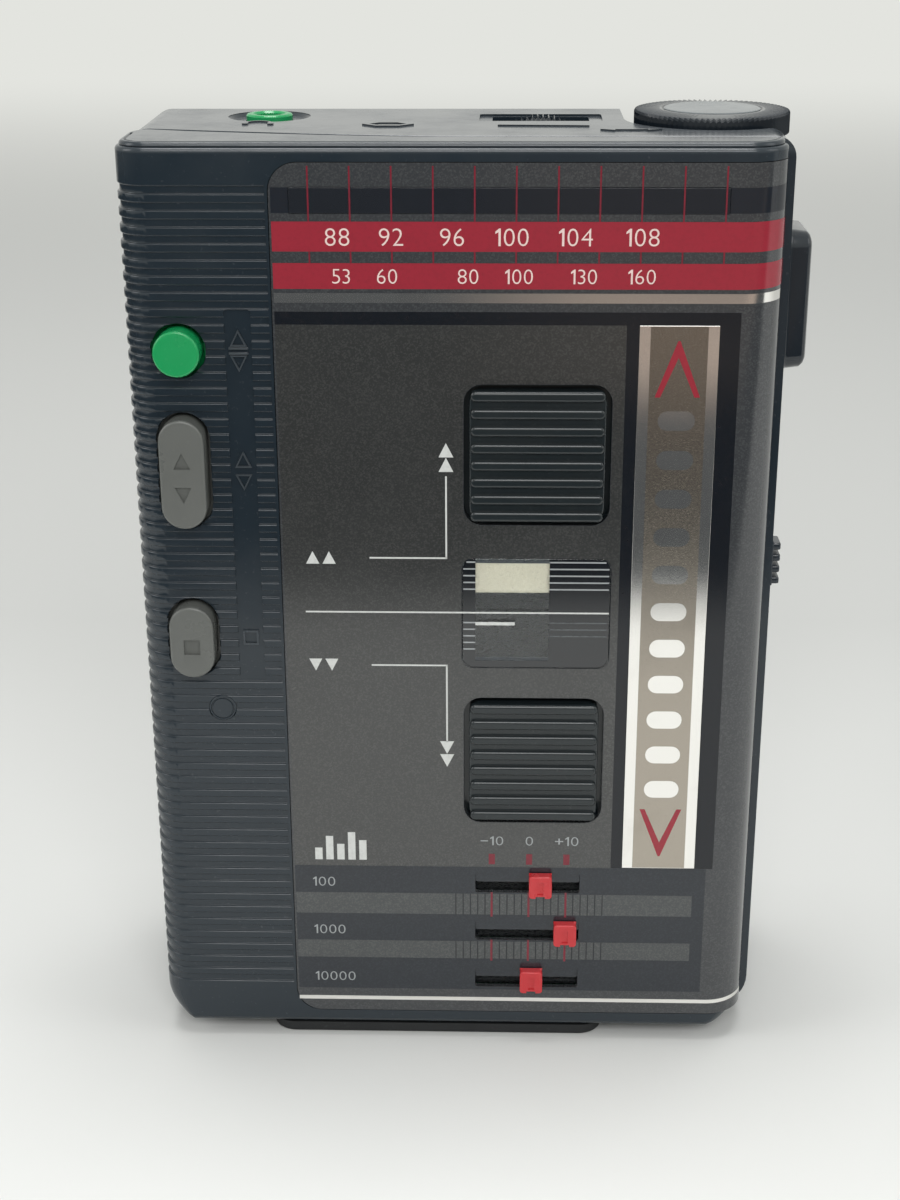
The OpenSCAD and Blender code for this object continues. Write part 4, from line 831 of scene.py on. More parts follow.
def outline_of(points, width):
    """A drawn closed line: the ring between an outline and the same outline shrunk towards its middle."""
    cx = sum(p[0] for p in points) / len(points)
    cz = sum(p[1] for p in points) / len(points)
    reach = min(math.hypot(x - cx, z - cz) for x, z in points)
    k = 1 - width / reach
    return points, [(cx + (x - cx) * k, cz + (z - cz) * k) for x, z in points]


def triangle(x, z, size, way):
    """An upright (way 1) or hanging (way -1) triangle about its middle."""
    h = way * size / 2
    return [(x - size / 2, z - h), (x + size / 2, z - h), (x, z + h)]


# Signs whose shape differs from the default font's
OWN_SIGNS = {"1": [(0, 0.82), (0, 0.69), (0.18, 0.79), (0.18, 0), (0.31, 0), (0.31, 1), (0.21, 1)],
             "-": [(0, 0.43), (0.62, 0.43), (0.62, 0.55), (0, 0.55)],
             "+": [(0, 0.43), (0.28, 0.43), (0.28, 0.15), (0.4, 0.15), (0.4, 0.43), (0.68, 0.43),
                   (0.68, 0.55), (0.4, 0.55), (0.4, 0.83), (0.28, 0.83), (0.28, 0.55), (0, 0.55)]}
FIGURE_GAP, FIGURE_THIN = 0.17, -0.012


def glyph(sign):
    """One numeral, 1 high and starting at x = 0, drawn or set in the default font."""
    if sign in OWN_SIGNS:
        return sheet(OWN_SIGNS[sign], 0)
    curve = bpy.data.curves.new("numeral", "FONT")
    curve.body, curve.resolution_u, curve.offset = sign, 4, FIGURE_THIN
    form = bpy.data.objects.new("numeral", curve)
    bpy.context.scene.collection.objects.link(form)
    mesh = bpy.data.meshes.new_from_object(form.evaluated_get(bpy.context.evaluated_depsgraph_get()))
    bm = bmesh.new()
    bm.from_mesh(mesh)
    x0, y0 = (min(v.co[i] for v in bm.verts) for i in (0, 1))
    k = 1 / (max(v.co.y for v in bm.verts) - y0)
    for v in bm.verts:
        v.co = ((v.co.x - x0) * k, 0, (v.co.y - y0) * k)
    bpy.data.objects.remove(form)
    bpy.data.curves.remove(curve)
    bpy.data.meshes.remove(mesh)
    return bm


def figures(items, height, stretch=1.0):
    """Flat numerals facing -Y: items are (numerals, x, z of their middle)."""
    parts = []
    for numerals, x, z in items:
        signs = [glyph(sign) for sign in numerals]
        widths = [max(v.co.x for v in bm.verts) for bm in signs]
        at = -(sum(widths) + FIGURE_GAP * (len(signs) - 1)) / 2
        for bm, width in zip(signs, widths):
            for v in bm.verts:
                v.co = (x + (at + v.co.x) * height * stretch, FRONT - 2 * LIFT, z + (v.co.z - 0.5) * height)
            at += width + FIGURE_GAP
        parts += signs
    return merged(*parts)


def printed(name, form, finish):
    return piece(name, form, "lid", finish)


FIELD_X1, FIELD_Z0, FIELD_Z1 = 20.9, 27.3, 102.2
BORDER_X1, BORDER_Z1 = 34.7, 103.8
EQ_X1, EQ_Z0, EQ_Z1 = 33.8, 7.85, 27.25
SILVER_TOP, SILVER_LOW = (104.9, 106.1), (6.0, 6.58)
UPPER_SCALE, LOWER_SCALE = (111.15, 114.75), (106.6, 109.75)
WINDOW_BAND = (115.75, 118.8)
PLATE_TOP = plate.z1 - PRINT_EDGE

field_holes = [pad_opening(pad, PAD_GAP + PRINT_GAP) for pad in pads.values()]
field_holes.append(framed(window, "xz", VIEW_GAP * 2, WINDOW_CORNER))
printed("print_field", bar(PRINT_LEFT, FIELD_X1, FIELD_Z0, FIELD_Z1, holes=field_holes), FIELD)
printed("print_black_border", merged(
    bar(PRINT_LEFT, BORDER_X1, FIELD_Z1, BORDER_Z1), bar(FIELD_X1, trim.x0 - 0.02, FIELD_Z0, FIELD_Z1),
    bar(trim.x1 + 0.02, BORDER_X1, FIELD_Z0, FIELD_Z1)), BLACK_INK)
slots = [slot_opening(slider) for slider in sliders.values()]
printed("print_eq_ground", bar(PRINT_LEFT, EQ_X1, EQ_Z0, EQ_Z1, holes=slots), EQ_GROUND)
printed("print_silver_lines", merged(wrapped(*SILVER_TOP), wrapped(*SILVER_LOW)), MIRROR)
printed("print_scale_bars", merged(wrapped(*UPPER_SCALE), wrapped(*LOWER_SCALE)), RED_INK)
printed("print_dial_band", merged(
    bar(PRINT_LEFT, dial.x0 - 0.05, *WINDOW_BAND), wrapped(*WINDOW_BAND, x0=dial.x1 + 0.05)), BAND_INK)

TICKS, TICK_X, TICK_STEP, TICK_W = 11, -17.55, 4.98, 0.2


def tick_marks(*spans):
    """The dial's upright marks, each over the given (lower, upper) spans."""
    ticks = [TICK_X + TICK_STEP * k for k in range(TICKS)]
    return merged(*(bar(x - TICK_W / 2, x + TICK_W / 2, z0, z1, 2) for x in ticks for z0, z1 in spans))


printed("print_scale_ticks", tick_marks((UPPER_SCALE[1], WINDOW_BAND[0]), (WINDOW_BAND[1], PLATE_TOP - PRINT_GAP),
                                        (LOWER_SCALE[1], UPPER_SCALE[0])), DEEP_RED_INK)
UPPER_MID, UPPER_H, LOWER_MID, LOWER_H = 112.9, 2.12, 108.15, 1.78
upper = zip(("88", "92", "96", "100", "104", "108"), (-14.15, -7.67, -0.35, 6.83, 14.48, 22.48))
lower = zip(("53", "60", "80", "100", "130", "160"), (-13.79, -8.22, 1.57, 7.72, 15.54, 22.52))
printed("print_scale_numbers", merged(figures([(n, x, UPPER_MID) for n, x in upper], UPPER_H),
                                      figures([(n, x, LOWER_MID) for n, x in lower], LOWER_H)), PINK_INK)

# Fine lines and signs on the field

MID_LINE_X, MID_LINE_Z, LINE_W = (-19.4, 19.7), 64.5, 0.22
LEADER_X, LEADER_BEND, LEADER_UP, LEADER_DOWN = -11.0, -1.2, 71.95, 57.05
PAIR_SIZE, SIGN_SIZE = 1.9, 1.7


def leader(z, z_end):
    """A line that runs to the right and then turns up or down to its signs."""
    w = LINE_W / 2
    low, high = sorted((z, z_end))
    return [bar(LEADER_X, LEADER_BEND + w, z - w, z + w, 2), bar(LEADER_BEND - w, LEADER_BEND + w, low, high, 2)]


def sign_pair(z, way):
    return [drawn(triangle(LEADER_BEND, z + way * PAIR_SIZE * k, PAIR_SIZE * 0.98, way)) for k in (0, 1)]


printed("print_field_lines", merged(
    bar(*MID_LINE_X, MID_LINE_Z - LINE_W / 2, MID_LINE_Z + LINE_W / 2, 3),
    *leader(LEADER_UP, 82.9), *leader(LEADER_DOWN, 46.0), *sign_pair(84.4, 1), *sign_pair(45.2, -1)), WHITE_INK)

# Signs at the left ends of the two leaders, and five small bars over the sliders

ICON_X, ICON_W, ICON_STEP, ICON_Z = -19.2, 1.0, 1.5, 28.2
left_signs = [drawn(triangle(x, z, SIGN_SIZE, way))
              for z, way in ((LEADER_UP, 1), (LEADER_DOWN, -1)) for x in (-18.3, -16.2)]
icon_bars = [bar(ICON_X + ICON_STEP * k, ICON_X + ICON_W + ICON_STEP * k, ICON_Z, ICON_Z + h, 2)
             for k, h in enumerate((1.8, 3.6, 2.4, 4.2, 3.0))]
printed("print_field_signs", merged(*left_signs, *icon_bars), WHITE_INK)

# Equalizer scale

EQ_BAR_X, EQ_BARS = (-22.0, 32.1), ((19.85, 23.1), (12.85, 15.6))
EQ_LINES, EQ_LINE_X, EQ_LINE_STEP = 21, -0.1, 1.0
EQ_LINE_HALF, EQ_MARK_HALF, EQ_TAB_HALF, EQ_MARK_OUT = 0.08, 0.14, 0.42, 0.3
EQ_MARKS, EQ_TAB_Z, EQ_NUMBER_Z = (4.8, 9.85, 14.9), (27.7, 29.3), 31.3
printed("print_eq_bars", merged(*(bar(*EQ_BAR_X, z0, z1, 2) for z0, z1 in EQ_BARS)), EQ_BAR)
eq_lines = [EQ_LINE_X + k * EQ_LINE_STEP for k in range(EQ_LINES)]
printed("print_eq_lines", merged(*(bar(x - EQ_LINE_HALF, x + EQ_LINE_HALF, z0, z1, 3)
                                   for z0, z1 in EQ_BARS for x in eq_lines)), DARK_INK)
printed("print_eq_marks", merged(
    *(bar(x - EQ_MARK_HALF, x + EQ_MARK_HALF, z0 - EQ_MARK_OUT, z1 + EQ_MARK_OUT, 4)
      for x in EQ_MARKS for z0, z1 in EQ_BARS),
    *(bar(x - EQ_TAB_HALF, x + EQ_TAB_HALF, *EQ_TAB_Z, 2) for x in EQ_MARKS)), DEEP_RED_INK)
slider_z = [slider.z for slider in sliders.values()]
printed("print_eq_numbers", merged(
    figures(zip(("-10", "0", "+10"), EQ_MARKS, [EQ_NUMBER_Z] * 3), 1.35, stretch=1.2),
    figures(zip(("10000", "1000", "100"), (-16.9, -17.5, -18.1), slider_z), 1.4, stretch=1.15)), GREY_INK)

# Mirror strip beside the field

TRIM_EDGE = 1.4
piece("mirror_strip", block(*trim, 0.08), "lid", MIRROR, ["trim_strip"])
printed("strip_centre", bar(trim.x0 + TRIM_EDGE, trim.x1 - TRIM_EDGE, trim.z0 + 0.12, trim.z1 - 0.12), TAUPE)

CHEVRON_W, CHEVRON_H, CHEVRON_LINE, CHEVRON_END = 2.45, 7.1, 0.34, 1.9


def chevron(z, way):
    """A thin open arrowhead whose point is at z."""
    w, h, t = CHEVRON_W, way * CHEVRON_H, CHEVRON_LINE
    rise = way * t * math.hypot(w, CHEVRON_H) / w
    tip = t * 0.4
    x = trim.x
    return drawn([(x - w - t, z - h), (x - tip, z), (x + tip, z), (x + w + t, z - h),
                  (x + w - t, z - h), (x, z - 2 * rise), (x - w + t, z - h)])


STRIP_BARS, STRIP_BAR_W, STRIP_BAR_H, STRIP_BAR_CORNER, STRIP_SPACE = 11, 2.3, 1.25, 1.2, 3
printed("strip_chevrons", merged(chevron(trim.z1 - CHEVRON_END, 1), chevron(trim.z0 + CHEVRON_END, -1)), RED_INK)
strip_low = trim.z0 + CHEVRON_END + CHEVRON_H + STRIP_SPACE
strip_high = trim.z1 - CHEVRON_END - CHEVRON_H - STRIP_SPACE
strip_levels = [strip_low + (strip_high - strip_low) * k / (STRIP_BARS - 1) for k in range(STRIP_BARS)]
printed("strip_bars", merged(*(
    drawn(rounded(trim.x - STRIP_BAR_W, z - STRIP_BAR_H, trim.x + STRIP_BAR_W, z + STRIP_BAR_H, STRIP_BAR_CORNER))
    for z in strip_levels)), MIRROR)

# Window over the cassette and the dial's lens

pane = piece("window_pane", block(*window, 0.1), "lid", CLEAR, ["cassette_window"])
pane.visible_shadow = False
VIEW_X0, VIEW_X1 = 2.52, 12.0
LINE_TOP, LINE_PITCH, LINE_HALF, PANE_EDGE = 71.44, 0.925, 0.1, 0.1


def window_side(x0, x1, round_left):
    """The part of the pane beside its clear view, with the pane's own corners at its outer end."""
    z0, z1, r = window.z0 + PANE_EDGE, window.z1 - PANE_EDGE, WINDOW_CORNER
    if round_left:
        ends = [(x1, z0), (x1, z1)] + arc(x0 + r, z1 - r, r, 90, 180) + arc(x0 + r, z0 + r, r, 180, 270)
    else:
        ends = [(x0, z1), (x0, z0)] + arc(x1 - r, z0 + r, r, 270, 360) + arc(x1 - r, z1 - r, r, 0, 90)
    return drawn(ends, 1)


printed("window_surround", merged(window_side(window.x0 + PANE_EDGE, VIEW_X0, True),
                                  window_side(VIEW_X1, window.x1 - PANE_EDGE, False),
                                  bar(VIEW_X0, VIEW_X1, window.z0 + PANE_EDGE, window.z0 + 1.0)), PANE_INK)


def pane_line(x0, x1, row):
    z = LINE_TOP - LINE_PITCH * row
    return bar(x0, x1, z - LINE_HALF, z + LINE_HALF, 2)


printed("window_lines", merged(
    pane_line(window.x0 + 0.55, VIEW_X0, 0), pane_line(VIEW_X1, window.x1 - 0.6, 0),
    *(pane_line(window.x0 + 0.15, VIEW_X0, row) for row in (1, 2, 3, 4, 9, 10, 11, 12, 13)),
    *(pane_line(VIEW_X1, window.x1 - 0.2, row) for row in (1, 2, 3, 4))), GREY_INK)
printed("window_faint_lines", merged(*(pane_line(VIEW_X1, window.x1 - 0.3, row) for row in (9, 10, 11))), FAINT_INK)
# A white bar on the pane that stands in for a bright strip seen behind the window
printed("window_bar", bar(VIEW_X0, 7.6, 62.75, 63.2, 2), WHITE_INK)
piece("dial_pane", block(*dial, 0.08), "lid", SMOKED, ["dial_lens"])
printed("dial_pane_ticks", tick_marks(WINDOW_BAND), DEEP_RED_INK)

# Keys, pads and sliders in the lid

LID_IN = FRONT + LID_WALL
KEY_FACE_EDGE, SIGN_DEPTH, KEY_SIGN, KEY_SQUARE = 0.32, 0.3, 2.15, 1.05

for name, signs, finish, slot in (
        ("play_button", ((1, 1.85), (-1, -2.65)), GREY_ABS, "grey_abs"),
        ("stop_button", ((0, -0.65),), GREY_ABS, "grey_abs"),
        ("direction_button", (), GREEN_ABS, "green_abs")):
    key = buttons[name]
    cap = solid(bevelled(lambda inset: key_opening(key, -inset), "y", LID_IN + 0.15, key.y0, KEY_FACE_EDGE, 5))
    floors = []
    for way, dz in signs:
        x, z, half = key.x, key.z + dz, KEY_SQUARE
        sign = triangle(x, z, KEY_SIGN, way) if way else rounded(x - half, z - half, x + half, z + half, 0.05)
        carve(cap, prism(sign, "y", key.y0 - 1, key.y0 + SIGN_DEPTH))
        # The sunk signs' floors take the darker grey: painted shade
        floors.append(sheet(sign, key.y0 + SIGN_DEPTH - LIFT))
    fuse(cap, behind(name, "y", LID_IN + 0.05))
    piece(name + "_cap", cap, name, finish, [name])
    if floors:
        piece(name + "_signs", merged(*floors), name, SIGN_FLOOR_PAINTED_SHADE)

plug_r = (plug.x1 - plug.x0) / 2
plug_rows = [(plug_r - inset, level, 0) for inset, level in (
    (0.02, plug.y1), (0.02, FRONT + 0.12), (0.14, FRONT), (0.3, FRONT),
    (0.36, FRONT + 0.12), (0.46, FRONT + 0.12), (0.52, FRONT))]
piece("indicator_plug", turned(plug_rows, (plug.x, plug.z), "y", 56), "lid", BLACK_ABS,
      ["indicator_lens"])

PAD_RIBS, PAD_RIB_SHARE, PAD_RIB_EDGE, PAD_RIB_DEPTH, PAD_RIB_SIDE = 8, 0.6, 0.4, 0.6, 0.15


def pad_form(name):
    """A pad with a rounded body and flat-topped ribs whose ends are round."""
    pad = pads[name]
    floor, base = pad.y0 + PAD_RIB_DEPTH, LID_IN + 0.1
    parts = [bevelled(lambda inset: pad_opening(pad, -inset), "y", base, floor, 0.3), behind(name, "y", base)]
    half = (pad.z1 - pad.z0) / (PAD_RIBS - 1 + PAD_RIB_SHARE) / 2
    h, x0, x1 = half * PAD_RIB_SHARE, pad.x0 + PAD_RIB_SIDE, pad.x1 - PAD_RIB_SIDE
    for k in range(PAD_RIBS):
        z = pad.z0 + half * (2 * k + PAD_RIB_SHARE)

        def rib(inset):
            return rounded(x0 + inset, z - h + inset, x1 - inset, z + h - inset, h * 0.95 - inset)

        parts.append(bevelled(rib, "y", floor + 0.4, pad.y0, PAD_RIB_EDGE, 6))
    return merged(*parts)


for name in pads:
    piece(name + "_ribs", pad_form(name), name, PAD_ABS, [name])

CAP_BAND, CAP_GROOVE, CAP_NOTCH, CAP_CORNER, CAP_BASE = 0.85, 0.42, 0.3, 0.45, 0.2


def slider_cap(s):
    """A slider's cap: a full upper band, two legs below it, and a groove between them with a notch at its foot."""
    form = solid(bevelled(lambda inset: framed(s, "xz", -inset, CAP_CORNER - inset, 4), "y",
                          FRONT - CAP_BASE, s.y0, 0.2, 4))
    x, out, legs, notch = s.x, s.y0 - 1, s.z1 - CAP_BAND, CAP_GROOVE * 1.5
    carve(form, block(x - CAP_GROOVE, x + CAP_GROOVE, out, s.y0 + 0.35, s.z0 + 0.55, legs),
          block(s.x0 - 1, s.x1 + 1, out, s.y0 + 0.12, s.z0 - 1, legs),
          block(x - notch, x + notch, out, FRONT + 1, s.z0 - 1, s.z0 + CAP_NOTCH))
    return soften(form, 0.07, 2)


ledges = [bevelled(lambda inset: slot_opening(s, -LEDGE_LOW - inset, SLOT_H / 2 - 0.03 - inset, 0.03 + inset), "y",
                   FRONT + PLATE_T + 0.02, FRONT + LEDGE_DEPTH, 0.05, 2) for s in sliders.values()]
printed("slider_ledges", merged(*ledges), EQ_GROUND)

for name, s in sliders.items():
    form = slider_cap(s)
    fuse(form, behind(name, "y", FRONT - CAP_BASE - 0.01))
    carve(form, block(s.x - 2, s.x + 2, FRONT - 0.18, LID_IN + 0.1, s.z, s.z + 1))
    piece(name + "_knob", form, name.replace("slider_", ""), RED_ABS, [name])

# Raised signs on the smooth legend band

BAND_MID = (BAND_X0 + BAND_X1) / 2
BAND_FLOOR = FRONT + BAND_DEPTH
BAND_SIGN, BAND_SIGN_H, BAND_LINE = 2.1, 0.28, 0.34


def raised(outline):
    """A raised line on the band that follows a closed outline."""
    outer, inner = outline_of(outline, BAND_LINE)
    low, high = BAND_FLOOR + BAND_SIGN_H * 0.3, BAND_FLOOR - BAND_SIGN_H
    return loft([placed(loop, "y", level) for loop, level in
                 ((outer, low), (outer, high), (inner, high), (inner, low))], closed=True)


direction_z, play_z, stop_z = (buttons[name].z for name in ("direction_button", "play_button", "stop_button"))
arrows = ((direction_z + 1.6, 1), (direction_z - 1.6, -1), (play_z + 1.5, 1), (play_z - 1.5, -1))
band_signs = [raised(triangle(BAND_MID, z, BAND_SIGN, way)) for z, way in arrows]
band_signs += [block(BAND_MID - 1.2, BAND_MID + 1.2, BAND_FLOOR - BAND_SIGN_H, BAND_FLOOR + 0.05,
                     z - 0.14, z + 0.14, 0.05) for z in (direction_z + 0.32, direction_z - 0.32)]
band_signs.append(raised(rounded(BAND_MID - 1, stop_z - 1, BAND_MID + 1, stop_z + 1, 0.1)))
piece("legend_signs", merged(*band_signs), "lid", SIGN_ABS)

# Raised signs on the top: headphones, a volume wedge, a tuning arrow and a small lens

TOP_SIGN_H = 0.18


def on_top(outline, height=TOP_SIGN_H):
    return prism(outline, "z", TOP - 0.05, TOP + height)


def headphones(x, y, r):
    """A head band with two ear pads."""
    band = arc(x, y, r, 180, 0, 14) + arc(x, y, r - 0.32, 0, 180, 14)
    pads_at = (x - r + 0.1, x + r - 0.1)
    return [on_top(band)] + [on_top(rounded(c - 0.38, y - 1.15, c + 0.38, y + 0.1, 0.25)) for c in pads_at]


volume_wedge = [(5.0, -2.3), (16.4, -2.9), (16.4, -1.2)]
tuning_arrow = [(17.6, -6.2), (19.4, -5.3), (19.4, -5.95), (23.4, -5.95), (23.4, -5.3), (25.2, -6.2),
                (23.4, -7.1), (23.4, -6.45), (19.4, -6.45), (19.4, -7.1)]
lens_outline = [(-12.0, -1.5), (-10.2, 0.2), (-7.3, 0.2), (-5.5, -1.5), (-7.3, -3.2), (-10.2, -3.2)]
lens_inner = [(-11.1, -1.5), (-9.9, -0.3), (-7.6, -0.3), (-6.4, -1.5), (-7.6, -2.7), (-9.9, -2.7)]
piece("top_signs", merged(*headphones(PHONES[0] - 0.6, -0.2, 1.7), on_top(volume_wedge), on_top(tuning_arrow),
                          loft([placed(loop, "z", level) for loop, level in (
                              (lens_outline, TOP - 0.05), (lens_outline, TOP + TOP_SIGN_H),
                              (lens_inner, TOP + TOP_SIGN_H), (lens_inner, TOP - 0.05))], closed=True)),
      "cabinet", BLACK_ABS)
piece("top_lens", on_top(lens_inner, 0.06), "cabinet", PAD_ABS)

# Controls on the top and the right side

KNOB_TEETH, KNOB_TOOTH = 84, 0.6
KNOB_LOW, KNOB_TOP = SHELF_Z + 1.4, TOP + 1.2
knob_rows = [(KNOB_R - 1.2, SHELF_Z + 0.5, 0), (KNOB_R - 0.8, KNOB_LOW - 0.2, 0),
             (KNOB_R - 0.1, KNOB_LOW, KNOB_TOOTH, -0.45), (KNOB_R, KNOB_LOW + 0.1, KNOB_TOOTH, -0.45),
             (KNOB_R, KNOB_TOP - 0.25, KNOB_TOOTH, 0.35), (KNOB_R - 0.15, KNOB_TOP, KNOB_TOOTH, 0.35),
             (KNOB_R - 0.7, KNOB_TOP + 0.05, KNOB_TOOTH * 0.7, 0.2), (KNOB_R - 3.2, KNOB_TOP + 0.1, 0.16),
             (KNOB_R - 3.5, KNOB_TOP + 0.1, 0), (KNOB_R - 3.6, KNOB_TOP - 0.05, 0)]
knob_form = merged(turned(knob_rows, tune[:2], "z", teeth=KNOB_TEETH), behind("tuning_knob", "z", SHELF_Z + 0.6, -1))
piece("tuning_knob_rim", knob_form, "tuning", KNOB_ABS, ["tuning_knob"], smooth=18)
disc_rows = [(KNOB_R - 3.75, KNOB_TOP - 0.2, 0), (KNOB_R - 3.75, KNOB_TOP + 0.1, 0),
             (KNOB_R - 3.9, KNOB_TOP + 0.19, 0), (0.05, KNOB_TOP + 0.22, 0)]
piece("tuning_knob_disc", turned(disc_rows, tune[:2], "z", 72), "tuning", PALE_DISC)

WHEEL_TEETH, WHEEL_TOOTH = 78, 0.55
wheel_r = (wheel.x1 - wheel.x0) / 2
wheel_rows = [(wheel_r - 1.2, wheel.y0, 0), (wheel_r - 0.5, wheel.y0, 0),
              (wheel_r, wheel.y0 + 0.2, WHEEL_TOOTH), (wheel_r, wheel.y1 - 0.2, WHEEL_TOOTH),
              (wheel_r - 0.5, wheel.y1, 0), (wheel_r - 1.2, wheel.y1, 0)]
piece("volume_wheel_rim", turned(wheel_rows, (volume[0], volume[2]), "y", teeth=WHEEL_TEETH), "volume", KNOB_ABS,
      ["volume_wheel"], smooth=18)

ring_rows = [(1.8, TOP - 1.4, 0), (PHONES_RING_R, TOP - 1.4, 0), (PHONES_RING_R, TOP + 0.15, 0),
             (PHONES_RING_R - 0.12, TOP + 0.33, 0), (PHONES_RING_R - 0.35, TOP + 0.4, 0),
             (2.15, TOP + 0.4, 0), (1.86, TOP + 0.15, 0)]
piece("phones_ring", merged(turned(ring_rows, PHONES, "z", 64, closed=True),
                            behind("phone_jack", "z", TOP - 1.35, -1)),
      "cabinet", GREEN_ABS, ["phone_jack"])

release_rings = [placed(framed(release, "yz", -inset, max(2.4 - inset, 0.2), 6), "x", x) for inset, x in (
    (0.15, release.x0), (0, release.x0 + 0.15), (0, release.x0 + 0.9), (0.22, release.x0 + 1.0),
    (0.26, release.x0 + 1.3), (0.5, release.x1 - 0.75), (0.9, release.x1 - 0.3),
    (1.5, release.x1 - 0.06), (2.1, release.x1))]
piece("lid_release_block", merged(loft(release_rings), behind("lid_release", "x", release.x0 + 0.1, -1)), "release",
      KNOB_ABS, ["lid_release"])

SELECTOR_RIBS, SELECTOR_RIB_HALF = 4, 0.5
selector_parts = [behind("selector_knob", "x", selector.x0 + 0.1, -1),
                  block(selector.x0, selector.x1 - 0.9, selector.y0, selector.y1, selector.z0, selector.z1, 0.3)]
for k in range(SELECTOR_RIBS):
    z = selector.z0 + (selector.z1 - selector.z0) / SELECTOR_RIBS * (k + 0.5)
    selector_parts.append(block(selector.x1 - 1.4, selector.x1, selector.y0 + 0.1, selector.y1 - 0.1,
                                z - SELECTOR_RIB_HALF, z + SELECTOR_RIB_HALF, 0.25))
piece("selector_slide_knob", merged(*selector_parts), "selector", BLACK_ABS, ["selector_knob"])

# Foot, felt and battery cover

foot = box_of("base_foot")
foot_tread = bevelled(lambda inset: framed(foot, "xy", -inset, 3.0, 8), "z", 1.6, 0.0, 0.5, 4)
foot_step = prism(rounded(foot.x0 + 0.6, seam(foot.x0) + 1, foot.x1 - 0.6, foot.y1 - 0.6, 2.4), "z", 1.5, foot.z1)
piece("standing_foot", merged(foot_tread, foot_step), "cabinet", RUBBER, ["base_foot"])

felt = box_of("cassette_cushion")
felt_rings = [placed(framed(felt, "xz", -inset, 0.3, 6), "y", y) for inset, y in (
    (0.5, felt.y0 + 0.05), (0.12, felt.y0 + 0.07), (0, felt.y0 + 0.17), (0.04, felt.y1 - 0.8), (0.25, felt.y1 - 0.35),
    (0.8, felt.y1 - 0.1), (1.8, felt.y1))]
piece("felt_pad", loft(felt_rings), "lid", FELT, ["cassette_cushion"])

GRIP_LINES, GRIP_PITCH, GRIP_EDGE, GRIP_HALF = 6, 1.1, 1.6, 7
door = solid(behind("battery_cover", "y", 0.0))
for k in range(GRIP_LINES):
    x = cover.x1 - GRIP_EDGE - GRIP_PITCH * k
    carve(door, block(x - 0.3, x + 0.3, BACK - 0.4, BACK + 1, cover.z - GRIP_HALF, cover.z + GRIP_HALF, 0.15))
piece("battery_door", door, "battery_cover", BLACK_ABS, ["battery_cover"])

# Inner parts keep their CAD shape and take the finish of their own material; black ABS there is the darker copy with
# painted shade

FINISH = {"black_abs": SHADED_INSIDE_ABS, "steel": STEEL, "brass": BRASS, "rubber": RUBBER, "board": BOARD,
          "black_component": COMPONENT, "white_acetal": ACETAL, "ferrite": FERRITE, "red_abs": RED_ABS,
          "felt": FELT, "grey_abs": GREY_ABS, "green_abs": GREEN_ABS}
for name, node in NODES.items():
    if not node.hide_render:
        for material_slot in node.material_slots:
            material_slot.material = FINISH[SLOT_OF[name]]

# Camera at the photograph's place and angle

IMAGE_H = 1200
FOCAL_PX, SENSOR = 1923.97, 36.0
PITCH, YAW, ROLL = (math.radians(a) for a in (21.417, -1.6425, -0.2122))
CAMERA_AT = Vector((5.8545, -247.3525, 156.6058)) * MM


def make_camera():
    ahead = Vector((math.sin(YAW) * math.cos(PITCH), math.cos(YAW) * math.cos(PITCH), -math.sin(PITCH)))
    level = Vector((math.cos(YAW), -math.sin(YAW), 0))
    upright = level.cross(ahead)
    right = math.cos(ROLL) * level + math.sin(ROLL) * upright
    up = -math.sin(ROLL) * level + math.cos(ROLL) * upright
    data = bpy.data.cameras.new("camera")
    data.sensor_width = SENSOR
    data.lens = FOCAL_PX * SENSOR / IMAGE_H
    data.clip_start = 0.01
    camera = bpy.data.objects.new("camera", data)
    bpy.context.scene.collection.objects.link(camera)
    turn = Matrix((right, up, -ahead)).transposed().to_4x4()
    camera.matrix_world = Matrix.Translation(CAMERA_AT) @ turn
    bpy.context.scene.camera = camera


make_camera()

# Stage: pale floor that fades into the pale surroundings, soft light, and a card that only reflections see

PALE = linear("#e3e4df")
FLOOR_HALF = 2.0
FADE_NEAR, FADE_FAR = 0.4, 1.2
FLOOR_SHADE_NEAR, FLOOR_SHADE_FAR = -0.06, 0.14


def flat(name, x0, x1, y0, y1, z, finish):
    bm = bmesh.new()
    bm.faces.new([bm.verts.new(p) for p in ((x0, y0, z), (x1, y0, z), (x1, y1, z), (x0, y1, z))])
    form = solid(bm, name)
    form.data.materials.append(finish)
    return form


def seen_directly(tree):
    """1 for a ray that shows the surroundings: from the camera, in a reflection or through a clear part."""
    path = add(tree, "LightPath")
    total = path.outputs["Is Camera Ray"]
    for kind in ("Is Glossy Ray", "Is Transmission Ray"):
        total = add(tree, "Math", {0: total, 1: path.outputs[kind]}, operation="MAXIMUM")
    return total


